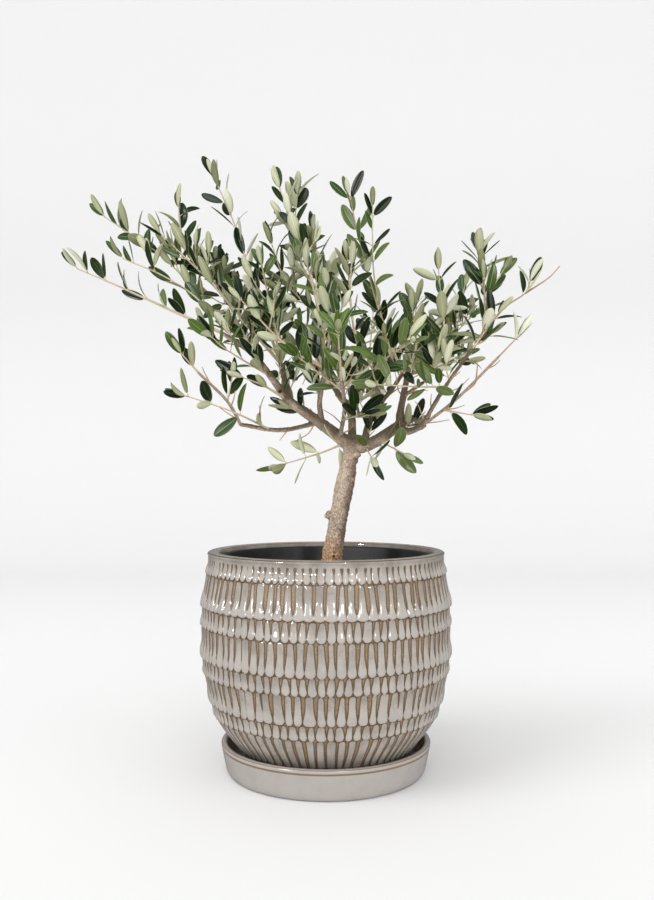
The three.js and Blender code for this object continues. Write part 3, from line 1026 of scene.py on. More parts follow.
@dataclass
class GrowersPot:
    """The thin moulded pot inside, with a rolled rim and faint ribs on its wall."""

    sides: int = 192
    ribs: int = 24
    rib_depth: float = 0.25
    wall: tuple = (60, 229.5)
    outline: tuple = ((40, 26.1), (84, 26.1), (85, 27), (98, 120), (112.6, 229), (113.4, 229.8), (119, 230.3),
                      (119.7, 231), (119.7, 238.6), (119.2, 239.6), (118.2, 240), (112.6, 240), (111.8, 239.4),
                      (111.5, 238), (111.3, 231.4), (110.2, 219), (104.5, 178), (98, 130), (83, 29.2), (82, 28.6),
                      (40, 28.6))
    plastic: MottledFinish = MottledFinish("charcoal_plastic", paint(25, 26, 25), 0.62, 0.25, 900.0,
                                           second=paint(33, 34, 33), third=paint(46, 47, 46), third_from=0.66)

    def build(self) -> None:
        """Makes the pot."""
        angle = np.arange(self.sides) / self.sides * TURN
        rib = self.rib_depth * np.clip(np.cos(angle * self.ribs) - 0.6, 0, 1)
        low, high = self.wall
        rows = [ring(radius - rib * (low < height < high), height, self.sides) for radius, height in self.outline]
        batch = Batch()
        Turned(np.stack(rows)).into(batch)
        batch.build("growers_pot", [self.plastic.material()], "nursery_plastic", ["nursery_pot"])


@dataclass
class Soil:
    """Potting mix: an uneven bed with bits of bark and small stones on it.

    A bit is a lump with ten corners, `bit_corners`, joined by `bit_faces`.
    """

    top: float = 205.0
    bottom: float = 29.2
    radius: float = 106.6
    foot: float = 82.0
    sides: int = 120
    circles: int = 40
    sunk: float = 0.6
    bits: int = 900
    bit_corners: tuple = ((1, 1, 1), (-1, -1, 1), (-1, 1, -1), (1, -1, -1), (1.6, 0, 0), (-1.6, 0, 0), (0, 1.6, 0),
                          (0, -1.6, 0), (0, 0, 1.6), (0, 0, -1.6))
    bit_faces: tuple = ((8, 0, 6), (8, 6, 1), (8, 1, 7), (8, 7, 0), (0, 4, 6), (0, 7, 4), (1, 6, 5), (1, 5, 7),
                        (3, 4, 7), (3, 7, 9), (3, 9, 4), (2, 6, 9), (2, 9, 5), (2, 5, 6), (4, 9, 6), (5, 9, 7))
    bed: MottledFinish = MottledFinish("potting_mix", paint(58, 43, 31), 0.95, 0.8, 700.0, 0.0015,
                                       second=paint(84, 63, 45), third=paint(120, 96, 72), third_from=0.62)
    tints: tuple = (paint(96, 70, 48), paint(70, 50, 35), paint(132, 104, 78), paint(176, 164, 146))
    tint_odds: tuple = (0.42, 0.3, 0.2, 0.08)

    def bed_rows(self) -> np.ndarray:
        """Lays out the bed.

        Returns:
            Its rings, from the underside out and over its uneven top.
        """
        under = [(40, self.bottom), (self.foot, self.bottom), (self.radius - 0.5, self.top - 4)]
        over = [(radius, self.top - self.sunk) for radius in np.linspace(self.radius - self.sunk, 4, self.circles)]
        shell = np.stack([ring(radius, height, self.sides) for radius, height in under + over])
        flat = shell[len(under):].reshape(-1, 3)
        relief = 1.5 * lumps(flat, 9, 1) + 0.8 * lumps(flat, 3.5, 2) - 0.8
        shell[len(under):, :, 2] += relief.reshape(len(over), self.sides)
        return shell

    def build(self) -> None:
        """Makes the bed and scatters the bits."""
        dice = np.random.default_rng(71)
        batch = Batch()
        Turned(self.bed_rows()).into(batch)
        batch.charts = [None] * len(batch.charts)
        corners, faces = np.array(self.bit_corners), np.array(self.bit_faces)
        for _ in range(self.bits):
            far = self.radius * math.sqrt(dice.uniform(0.004, 0.93))
            angle = dice.uniform(0, TURN)
            size = dice.uniform(0.5, 1.9) * np.array([dice.uniform(0.8, 2.2), 1, dice.uniform(0.35, 0.8)])
            turn = dice.uniform(0, TURN)
            shape = corners * dice.uniform(0.75, 1.25, corners.shape) * size
            cosine, sine = math.cos(turn), math.sin(turn)
            turned = np.array([[cosine, -sine, 0], [sine, cosine, 0], [0, 0, 1]])
            spot = np.array([far * math.cos(angle), far * math.sin(angle), self.top - self.sunk])
            tint = 1 + int(dice.choice(len(self.tints), p=self.tint_odds))
            batch.add(shape @ turned.T + spot, faces, tint, flat=True)
        finishes = [self.bed] + [Finish(f"soil_bit_{k}", tint, 0.9, 0.5) for k, tint in enumerate(self.tints)]
        batch.build("soil_bed", [finish.material() for finish in finishes], "soil", ["soil"])


# ---- wood ----


def read_all(items: bpy.types.bpy_prop_collection, key: str, wide: int, kind: type = float) -> np.ndarray:
    """Reads one property of all parts of a mesh.

    Args:
        items: The parts.
        key: The property.
        wide: How many numbers it holds.
        kind: The kind of number.

    Returns:
        A row for each part.
    """
    values = np.empty(len(items) * wide, kind)
    items.foreach_get(key, values)
    return values.reshape(-1, wide)


@dataclass(frozen=True)
class Limb:
    """One woody limb, named as its construction node is.

    It starts `at` a share of its parent's length, and `radius` is its radii at foot and tip.
    """

    name: str
    parent: str
    at: float
    radius: tuple
    bends: tuple
    tip: tuple


LIMBS = (
    Limb("left_bough", "trunk", 1, (7.6, 4.9), ((3, -6, 381),), (-42, -20, 412)),
    Limb("right_bough", "trunk", 1, (7.8, 5.8), ((53, -3, 366),), (83, 0, 386)),
    Limb("centre_bough", "trunk", 1, (4.8, 3), ((28, 8, 401), (14, 30, 424)), (-4, 62, 462)),
    Limb("left_arm", "left_bough", 1, (4.4, 2.3), ((-61, -24, 438), (-81, -22, 463)), (-115, -16, 487)),
    Limb("left_upright", "left_bough", 1, (4.2, 3.4), ((-44, -14, 428),), (-51, 4, 455)),
    Limb("low_left_bough", "left_bough", 0.52, (2.7, 2.4), ((-50, -24, 379),), (-92, -44, 384)),
    Limb("low_left_arm", "low_left_bough", 1, (1.8, 1.4), ((-106, -52, 409),), (-135, -62, 438)),
    Limb("inner_left_bough", "left_bough", 0.47, (3.2, 2.5), ((-7, -20, 412),), (1, -48, 449)),
    Limb("inner_right_bough", "right_bough", 0.22, (4.2, 3.7), ((49, 10, 389),), (65, 22, 416)),
    Limb("inner_right_fork", "inner_right_bough", 1, (2.8, 2.3), ((54, 4, 432),), (47, -20, 443)),
    Limb("back_right_fork", "inner_right_bough", 1, (2.9, 2.3), ((76, 34, 428),), (91, 62, 450)),
    Limb("right_upright", "right_bough", 1, (4.5, 3.2), ((85, 8, 404),), (96, 32, 452)),
    Limb("right_side_twig", "right_upright", 0.5, (2.4, 1.9), (), (111, 4, 435)),
    Limb("right_stub", "right_bough", 0.97, (2.8, 2.6), (), (101, -10, 392)),
    Limb("right_lower_bough", "right_bough", 0.93, (4.6, 3.3), ((91, -14, 378),), (105, -30, 383)),
    Limb("right_arm", "right_lower_bough", 1, (2.5, 1.8), ((128, -44, 424),), (169, -48, 481)),
    Limb("right_low_arm", "right_lower_bough", 1, (1.8, 1.3), ((142, -50, 413),), (183, -62, 455)),
    Limb("back_bough", "centre_bough", 0.42, (3.2, 2.3), ((40, 56, 424),), (48, 108, 446)),
    Limb("back_left_bough", "centre_bough", 0.9, (2.7, 2), ((-14, 88, 463),), (-34, 122, 482)),
    Limb("front_bough", "left_bough", 0.2, (2.6, 2), ((20, -40, 400),), (16, -84, 428)),
)


@dataclass(frozen=True)
class Scar:
    """A knob or a cut stub that stands out of the wood.

    A stub ends in a flat face with a hollow in it, and a knob tapers to a round end.
    """

    foot: tuple
    tip: tuple
    radius: tuple
    hollow: bool

    @property
    def heading(self) -> np.ndarray:
        """Returns the way that it points."""
        return unit(np.array(self.tip, float) - np.array(self.foot, float))

    def into(self, batch: Batch) -> None:
        """Adds the scar to a batch.

        Args:
            batch: Where it goes.
        """
        share = np.array([0, 0.4, 0.8, 1.0, 1.0, 0.86] if self.hollow else [0, 0.4, 0.75, 0.93, 1.0])
        shape = np.array([1, 1, 1.02, 0.96, 0.62, 0.5] if self.hollow else [1, 1, 0.9, 0.62, 0.3])
        foot, tip = np.array(self.foot, float), np.array(self.tip, float)
        apart = 1e-3 * np.arange(len(share))[:, None]
        centres = foot + (tip - foot) * share[:, None] + (tip - foot) * apart
        radius = (self.radius[0] + (self.radius[1] - self.radius[0]) * share) * shape
        tube(batch, centres, radius, 16, heading=self.heading, bulge=(0, 0))


@dataclass
class Wood:
    """The trunk and its limbs as one skin of bark.

    The trunk's skin runs from its `foot` under the soil over `lean` and `bends` to the `fork`,
    with `girth` as heights and its radii there. `cell` is the size of the skin's faces, and
    limbs under the `thinnest` radius stay plain tubes, with `thin_marks`. `smoothing` is how far
    points move towards their neighbours' middle, pass by pass.
    """

    foot: tuple = (2.6, 0.0, 203.6)
    start: tuple = (2.6, 0, 205.3)
    lean: tuple = (5.6, -1, 228)
    bends: tuple = ((9.5, -2, 254), (18, -3, 303))
    fork: tuple = (29.6, 0, 361)
    girth: tuple = ((203, 215, 234, 255, 280, 300, 318, 332, 342, 352, 362),
                    (13.4, 12.0, 11.2, 10.7, 10.0, 9.8, 11.1, 9.8, 8.8, 9.6, 10.4))
    cell: float = 0.76
    thinnest: float = 2.0
    smoothing: tuple = (0.6, -0.35, 0.6, -0.35, 0.6, -0.3, 0.5)
    torn_stub: tuple = (101, -10, 392)
    scars: tuple = (
        Scar((12, -2, 281), (0.4, -4, 286.2), (6.4, 4.2), True),
        Scar((8, -4, 238), (8.6, -12.6, 239), (4.2, 3.2), True),
        Scar((24, -2, 322), (31.5, -10.5, 325), (4.2, 2.4), False),
        Scar((14, -2, 255), (18.5, -8.5, 256), (3.4, 2.2), False),
        Scar((-43, -16, 414), (-50.5, -27, 421.5), (3.9, 3.5), True),
        Scar((30, -2, 352), (38, -11, 352), (4.5, 3.0), False),
        Scar((100, -25, 381), (109, -31, 384.5), (3.1, 2.4), True),
        Scar((77, -2, 380), (84, -8.5, 375), (3.6, 2.2), True),
        Scar((3, -5, 380), (-1, -11, 386), (4.4, 2.6), False),
    )
    bark: BarkFinish = BarkFinish("bark", paint(200, 178, 154), 0.85, 1.0, 500.0, 0.0022)
    thin_marks: tuple = (("hollow", 0), ("rust", 0.1), ("olive", 0.5), ("crease", 0), ("worn", 0))
    lines: dict = field(default_factory=dict)

    def __post_init__(self) -> None:
        """Lays out the line of each limb."""
        self.lines["trunk"] = Line([self.start, *self.bends, self.fork])
        for limb in LIMBS:
            foot = self.lines[limb.parent].at(limb.at)
            self.lines[limb.name] = Line([foot, *limb.bends, limb.tip])

    def radii(self, limb: Limb, share: np.ndarray) -> np.ndarray:
        """A limb's radius, with a collar at its foot and a slight swelling at each node.

        Args:
            limb: The limb.
            share: Places along it.

        Returns:
            The radius at each place.
        """
        node_gap, node_at, node_reach, node_swell = 27, 13, 2.2, 0.07
        collar_swell, collar_reach = 0.22, 1.3
        low, high = limb.radius
        far = share * self.lines[limb.name].length
        nodes = node_swell * np.exp(-(((far % node_gap) - node_at) / node_reach) ** 2)
        collar = collar_swell * low * np.exp(-far / (collar_reach * low))
        return (low + (high - low) * share) * (1 + nodes) + collar

    def skeleton(self, batch: Batch) -> None:
        """Adds the trunk, the stout limbs and the scars as plain tubes.

        Args:
            batch: Where they go.
        """
        centres = Line([self.foot, self.lean, *self.bends, self.fork]).at(np.linspace(0, 1, 60))
        tube(batch, centres, np.interp(centres[:, 2], *self.girth), 28)
        for limb in LIMBS:
            if limb.radius[0] >= self.thinnest:
                line = self.lines[limb.name]
                share = np.linspace(0, 1, max(8, int(line.length / 3)))
                tube(batch, line.at(share), self.radii(limb, share), 16)
        for scar in self.scars:
            scar.into(batch)

    def wrapped(self, batch: Batch) -> bpy.types.Mesh:
        """Wraps the tubes in one closed mesh of even faces.

        Args:
            batch: The tubes.

        Returns:
            The mesh, in millimetres.
        """
        mesh = bpy.data.meshes.new("tubes")
        faces = [face.tolist() for group in batch.faces for face in group]
        mesh.from_pydata(np.concatenate(batch.points).tolist(), [], faces)
        tubes = bpy.data.objects.new("tubes", mesh)
        bpy.context.scene.collection.objects.link(tubes)
        wrap = tubes.modifiers.new("wrap", "REMESH")
        wrap.mode, wrap.voxel_size = "VOXEL", self.cell
        graph = bpy.context.evaluated_depsgraph_get()
        whole = bpy.data.meshes.new_from_object(tubes.evaluated_get(graph))
        bpy.data.objects.remove(tubes)
        return whole

    def skin(self, batch: Batch) -> tuple[np.ndarray, np.ndarray, np.ndarray]:
        """Wraps the tubes in one even skin and smooths it.

        Args:
            batch: The tubes.

        Returns:
            The skin's points in millimetres, its four-cornered faces and its normals.
        """
        whole = self.wrapped(batch)
        points = read_all(whole.vertices, "co", 3)
        edges = read_all(whole.edges, "vertices", 2, int)
        ends = np.concatenate([edges, edges[:, ::-1]])
        many = np.bincount(ends[:, 0], minlength=len(points))[:, None]
        for push in self.smoothing:
            mean = np.stack([np.bincount(ends[:, 0], points[ends[:, 1], k], len(points)) for k in range(3)], 1)
            points = points + push * (mean / many - points)
        whole.vertices.foreach_set("co", points.ravel())
        whole.update()
        normals = read_all(whole.vertices, "normal", 3)
        corners = read_all(whole.loops, "vertex_index", 1, int)
        bpy.data.meshes.remove(whole)
        return points, corners.reshape(-1, 4), normals

    @staticmethod
    def relief(points: np.ndarray, normals: np.ndarray) -> tuple[np.ndarray, np.ndarray]:
        """Raises the bark's ridges, cracks and knobs, more on the stem than on the limbs.

        Args:
            points: The skin's points.
            normals: Their normals.

        Returns:
            The points moved, and how much each lies in a crease, which darkens partly as the
            bark's own cracks and partly as painted shade.
        """
        stem = ease((376 - points[:, 2]) / 30)
        slant = points * np.array([1, 1, 0.36]) + points[:, [2]] * np.array([[0.16, 0.1, 0]])
        steep = points * np.array([1, 1, 0.6]) + points[:, [2]] * np.array([[0.12, 0.08, 0]])
        ridges, knobs = np.abs(lumps(slant, 2.6, 21)), np.abs(lumps(steep, 1.95, 26))
        cracks = -0.42 * np.clip(1 - ridges * 4.5, 0, 1) * (lumps(points, 7, 24) > -0.35)
        swell = 0.5 * lumps(points, 10, 22) + 0.3 * lumps(slant, 4.2, 23) + 0.13 * lumps(points, 1.7, 25)
        height = swell * (0.34 + 0.66 * stem) + cracks * (0.3 + 0.7 * stem)
        height += (np.minimum(knobs, 0.6) * 1.8 - 0.5) * (0.3 + 0.7 * stem)
        return points + normals * height[:, None], ease((0.17 - knobs) / 0.15) * (0.4 + 0.6 * stem)

    def hollows(self, points: np.ndarray) -> np.ndarray:
        """How far each point lies in the painted shade inside a cut stub's hollow and at the torn stub's end.

        Args:
            points: The skin's points.

        Returns:
            A value from 0 to 1 for each.
        """
        share, soft, reach = 0.66, 0.9, 3
        hollow = np.zeros(len(points))
        for scar in self.scars:
            if scar.hollow:
                way, from_tip = scar.heading, points - np.array(scar.tip)
                off = np.linalg.norm(from_tip - (from_tip @ way)[:, None] * way, axis=1)
                near = np.abs(from_tip @ way) < reach
                hollow = np.maximum(hollow, ease((scar.radius[1] * share - off) / soft) * near)
        torn = np.linalg.norm(points - np.array(self.torn_stub), axis=1)
        return np.maximum(hollow, 0.6 * ease((2.2 - torn) / 1.4))

    def marks(self, points: np.ndarray, normals: np.ndarray, crease: np.ndarray) -> dict[str, list]:
        """Where the bark is rusty at its foot, olive on the limbs and painted with shade on the stem's far side.

        Args:
            points: The skin's points before the relief.
            normals: Their normals.
            crease: How much each lies in a crease.

        Returns:
            The bark's marks, each as a list that starts with the skin's own.
        """
        height, sideways = points[:, 2], points[:, 0]
        low, aloft = ease((272 - height) / 42), ease((height - 350) / 22)
        rust = np.clip(low + 0.35 * ease(lumps(points, 9, 31) * 2.2 - 0.9), 0, 1)
        sunny = 0.84 + 0.7 * normals[:, 2] + 0.4 * lumps(points, 9, 35) + 0.0024 * sideways
        # painted shade: the stem's side facing +X, away from the key light, turns darker, less on the limbs and at
        # the foot
        unlit_side = 0.14 + 1.15 * normals[:, 0] + 0.3 * lumps(points, 6, 36)
        worn = np.clip(unlit_side, 0, 1) * (1 - 0.8 * aloft) * (1 - 0.55 * ease((262 - height) / 20))
        return {"hollow": [self.hollows(points)], "rust": [rust], "olive": [aloft * np.clip(sunny, 0, 1)],
                "crease": [crease], "worn": [worn]}

    def build(self) -> None:
        """Makes the bark."""
        tubes, batch = Batch(), Batch()
        self.skeleton(tubes)
        points, faces, normals = self.skin(tubes)
        raised, crease = self.relief(points, normals)
        batch.add(raised, faces)
        marks = self.marks(points, normals, crease)
        for limb in LIMBS:
            if limb.radius[0] < self.thinnest:
                line, before = self.lines[limb.name], batch.count
                share = np.linspace(0, 1, int(line.length / 2.5))
                wobble = 1 + 0.08 * lumps(line.at(share), 5, 9)
                tube(batch, line.at(share), self.radii(limb, share) * wobble, 12)
                for label, value in self.thin_marks:
                    marks[label].append(np.full(batch.count - before, float(value)))
        batch.marks = {label: np.concatenate(parts) for label, parts in marks.items()}
        batch.build("trunk_and_boughs", [self.bark.material()], "bark", ["trunk", *(limb.name for limb in LIMBS)])


# ---- shoots and leaves ----


@dataclass(frozen=True)
class Shoot:
    """One leafy shoot, on a limb or another shoot.

    `at` is the share of its parent's length at which it starts, `reach` the usual length of its
    side twigs, `step` the gap between pairs of leaves and `twiggy` the chance of a side twig in
    place of a leaf. `bare` is the share of it without leaves, and over 1 it has none. Leaves face
    the viewer by `turned`, silver side out below 0, and `lift` turns them up. `mass` names its
    mass of foliage where that has another name.
    """

    name: str
    parent: str
    at: float
    reach: float
    bends: tuple
    tip: tuple
    mass: str = ""
    step: float = 14.5
    twiggy: float = 0.26
    fresh: float = 0.04
    bare: float = 0.12
    pale: float = 0.1
    turned: float = 1.0
    lift: float = 1.0


TALL = {"step": 16.5, "twiggy": 0.14}
PALE = {"step": 22.0, "twiggy": 0.0, "pale": 0.9, "turned": -0.9}
BARE = {"step": 15.0, "twiggy": 0.0, "bare": 0.8}
LOOSE = {"step": 17.0, "twiggy": 0.08, "turned": 0.4}
FRESH = {"fresh": 0.2}
SHOOTS = (
    Shoot("left_far", "left_arm", 1, 16, ((-166, -22, 509), (-221, -34, 533)), (-268, -44, 552), step=25,
          twiggy=0, lift=2.2),
    Shoot("left_outer", "left_arm", 0.8, 18, ((-144, -4, 527), (-182, -2, 553)), (-226, -8, 571), step=22,
          twiggy=0.04, turned=0.4, lift=2),
    Shoot("left_high", "left_outer", 0.34, 17, ((-184, 20, 577),), (-255, 24, 627), **LOOSE, lift=2),
    Shoot("left_crown", "left_upright", 1, 21, ((-90, 6, 500), (-132, 8, 549)), (-185, 2, 600), lift=1.5),
    Shoot("left_crown_top", "left_crown", 0.72, 16, ((-163, 14, 594),), (-169, 18, 634), "left_crown"),
    Shoot("left_mid", "left_arm", 0.55, 22, ((-112, 26, 525),), (-146, 44, 580)),
    Shoot("left_tall", "left_upright", 1, 20, ((-81, 22, 538), (-102, 32, 609)), (-130, 40, 676), step=18,
          twiggy=0.04, turned=0.5),
    Shoot("left_inner", "left_upright", 1, 25, ((-60, -4, 505),), (-71, -14, 560)),
    Shoot("front_left", "inner_left_bough", 0.92, 22, ((-42, -62, 467),), (-88, -72, 512)),
    Shoot("left_under", "left_arm", 0.3, 20, ((-106, -42, 464),), (-121, -54, 476), "left_mid"),
    Shoot("under_left_arm", "left_bough", 0.97, 16, ((-66, -34, 426),), (-88, -46, 434), step=26, twiggy=0.1),
    Shoot("low_left_end", "low_left_arm", 1, 24, (), (-151, -69, 456), lift=1.5),
    Shoot("low_left_twig", "low_left_bough", 0.62, 17, ((-100, -66, 397),), (-143, -84, 411), step=30,
          twiggy=0),
    Shoot("low_sprig", "left_bough", 0.1, 14, ((2, -10, 357), (-17, -20, 350.5)), (-49, -35, 340.5), **PALE),
    Shoot("middle_tall", "inner_left_bough", 1, 20, ((-11, -26, 523), (-29, -8, 589)), (-52, 0, 652), **TALL),
    Shoot("middle_twin", "middle_tall", 0.42, 20, ((-36, 16, 594),), (-33, 16, 648), "middle_tall", **LOOSE),
    Shoot("middle_left", "middle_tall", 0.25, 20, ((-45, 6, 548),), (-61, 10, 590), "middle_tall", **LOOSE),
    Shoot("middle_back", "centre_bough", 1, 23, ((-40, 74, 540),), (-37, 74, 600), **TALL),
    Shoot("middle_right", "centre_bough", 1, 20, ((-2, 56, 536),), (-14, 44, 612), **TALL),
    Shoot("centre_front", "inner_left_bough", 1, 23, ((4, -70, 483),), (1, -78, 524)),
    Shoot("centre_tall", "inner_right_fork", 1, 23, ((31, -22, 490),), (24, -10, 567), **TALL),
    Shoot("right_tall", "back_right_fork", 1, 19, ((64, 42, 517), (42, 34, 592)), (27, 28, 652), step=18,
          twiggy=0.1),
    Shoot("right_tall_twin", "right_tall", 0.4, 21, ((54, 20, 574),), (53, 12, 634), "right_tall", bare=0.46,
          step=19, twiggy=0.1),
    Shoot("right_short", "right_upright", 1, 25, ((106, 42, 482),), (103, 52, 520)),
    Shoot("right_middle", "right_side_twig", 1, 22, ((133, 2, 475),), (128, 8, 560)),
    Shoot("right_inner", "right_side_twig", 1, 24, ((150, 34, 498),), (163, 48, 550)),
    Shoot("right_high", "right_arm", 1, 22, ((171, -44, 520),), (165, -38, 573)),
    Shoot("right_far", "right_arm", 1, 14, ((190, -52, 508), (212, -54, 523)), (217, -54, 534), **BARE,
          lift=1.5),
    Shoot("right_far_end", "right_far", 0.84, 10, ((226, -54, 532), (239, -53, 541)), (250, -52, 553),
          "right_far", bare=2),
    Shoot("right_outer", "right_arm", 0.82, 18, (), (182, -56, 500), "right_high"),
    Shoot("right_top", "right_high", 0.4, 16, (), (188, -50, 546), "right_high", step=20, twiggy=0),
    Shoot("right_low_end", "right_low_arm", 0.94, 14, (), (201, -66, 474), step=40, twiggy=0, bare=0.92,
          turned=-0.9, lift=2),
    Shoot("right_low_side", "right_low_arm", 0.27, 12, (), (154, -54, 394), step=30, twiggy=0),
    Shoot("front_right", "right_arm", 0.42, 21, ((97, -82, 421),), (53, -104, 421), fresh=0.12, twiggy=0.14),
    Shoot("under_right", "right_bough", 0.5, 12, (), (84, -26, 354), **PALE),
    Shoot("under_fork", "right_bough", 0.24, 12, (), (50, -22, 349), **PALE),
    Shoot("front_centre", "front_bough", 1, 23, (), (12, -124, 470), **FRESH),
    Shoot("front_low", "front_bough", 0.8, 20, (), (-26, -118, 446), "front_centre", **FRESH),
    Shoot("fork_front", "front_bough", 0.3, 15, (), (38, -64, 394), "front_centre", **FRESH),
    Shoot("front_far_right", "inner_right_fork", 0.9, 23, ((62, -60, 452),), (84, -112, 462), fresh=0.12),
    Shoot("back_centre", "back_bough", 1, 27, ((56, 150, 488),), (62, 176, 544), turned=0.2),
    Shoot("back_low", "back_bough", 0.9, 23, ((30, 150, 440),), (2, 190, 452), turned=0.2),
    Shoot("back_left", "back_left_bough", 1, 27, ((-60, 150, 508),), (-92, 168, 548), turned=0.2),
    Shoot("back_inner", "back_left_bough", 0.7, 25, ((-8, 116, 520),), (4, 124, 584), turned=0.2),
    Shoot("back_right", "back_right_fork", 1, 26, ((118, 96, 474),), (150, 132, 514), turned=0.2),
    Shoot("back_far_right", "back_right_fork", 1, 22, ((112, 84, 462),), (172, 98, 470), "back_right",
          turned=0.2),
)
SPUR = Shoot("spur", "", 0, 19, (), ())
SPURS_FROM = {"left_bough": 0.75, "right_bough": 0.8, "right_stub": 2, "low_left_bough": 2, "low_left_arm": 0.4,
              "inner_left_bough": 0.45, "centre_bough": 0.5, "front_bough": 0.6, "right_low_arm": 2,
              "right_lower_bough": 2, "right_upright": 0.5}


class Tint(Enum):
    """The greens of the upper side, darkest first."""

    DEEP = paint(12, 28, 2)
    DARK = paint(27, 47, 6)
    BLUISH = paint(52, 78, 36)
    MID = paint(66, 88, 28)
    PALE = paint(97, 115, 60)
    FRESH = paint(84, 110, 38)


@dataclass(frozen=True)
class LeafDress:
    """The finishes of a leaf's two sides, its rib and its stalk."""

    under: tuple = (paint(146, 150, 108), paint(178, 181, 141), paint(206, 209, 173), paint(230, 231, 204))
    rib: Colour = paint(132, 148, 98)
    stalk: Colour = paint(206, 198, 146)

    def materials(self) -> list[bpy.types.Material]:
        """Makes the materials.

        Returns:
            Uppers, then unders, then the rib and the stalk.
        """
        made = [Finish(f"leaf_{tint.name.lower()}", tint.value, rough=0.34, grain=0.2, grain_size=1400.0,
                       depth=0.0003, shine=0.3) for tint in Tint]
        made += [Finish(f"leaf_under_{k}", tint, rough=0.7, grain_size=1800.0, depth=0.0002, shine=0.3)
                 for k, tint in enumerate(self.under)]
        made += [Finish("leaf_rib", self.rib, 0.5), Finish("leaf_stalk", self.stalk, 0.6)]
        return [finish.material() for finish in made]


DRESS = LeafDress()
RIB = len(Tint) + len(DRESS.under)
STALK = RIB + 1


class Zone(Enum):
    """The strips of a leaf that take a finish of their own."""

    MARGIN = 0
    UPPER = 1
    MIDRIB = 2
    UNDER = 3
    UNDER_RIB = 4


class LeafPattern:
    """The faces of one leaf, flat, closed, with its rib and margin marked off.

    `RISE` is the places along it of its rows of points, and `UPPER` and `LOWER` are the places
    across it, as shares of half its width.
    """

    RISE = (0.045, 0.15, 0.31, 0.5, 0.69, 0.86, 0.96)
    UPPER = (-1.0, -0.92, -0.45, -0.05, 0.05, 0.45, 0.92, 1.0)
    LOWER = (-1.0, -0.45, -0.06, 0.06, 0.45, 1.0)
    UPPER_ZONES = (Zone.MARGIN, Zone.UPPER, Zone.UPPER, Zone.MIDRIB, Zone.UPPER, Zone.UPPER, Zone.MARGIN)
    LOWER_ZONES = (Zone.UNDER, Zone.UNDER, Zone.UNDER_RIB, Zone.UNDER, Zone.UNDER)

    def __init__(self) -> None:
        """Numbers the points and faces. The first two points are the foot and the tip."""
        count, wide = len(self.RISE), len(self.UPPER)
        inner = self.LOWER[1:-1]
        upper = 2 + np.arange(count * wide).reshape(count, wide)
        lower = upper[-1, -1] + 1 + np.arange(count * len(inner)).reshape(count, len(inner))
        lower = np.concatenate([upper[:, :1], lower, upper[:, -1:]], axis=1)
        self.rise = np.concatenate([[0.0, 1.0], np.repeat(self.RISE, wide), np.repeat(self.RISE, len(inner))])
        self.side = np.concatenate([[0.0, 0.0], np.tile(self.UPPER, count), np.tile(inner, count)])
        above = np.tile([float(abs(place) < 0.99) for place in self.UPPER], count)
        self.face = np.concatenate([[0.0, 0.0], above, np.full(count * len(inner), -1.0)])
        quads, triangles, quad_zones, triangle_zones = [], [], [], []
        for grid, zones, turn in ((upper, self.UPPER_ZONES, -1), (lower, self.LOWER_ZONES, 1)):
            for k, zone in enumerate(zones):
                low, high = grid[:, k], grid[:, k + 1]
                quads += [[low[row], high[row], high[row + 1], low[row + 1]][::turn] for row in range(count - 1)]
                triangles += [[0, high[0], low[0]][::turn], [1, low[-1], high[-1]][::turn]]
                quad_zones += [zone.value] * (count - 1)
                triangle_zones += [zone.value] * 2
        self.faces = ((np.array(quads), np.array(quad_zones)), (np.array(triangles), np.array(triangle_zones)))


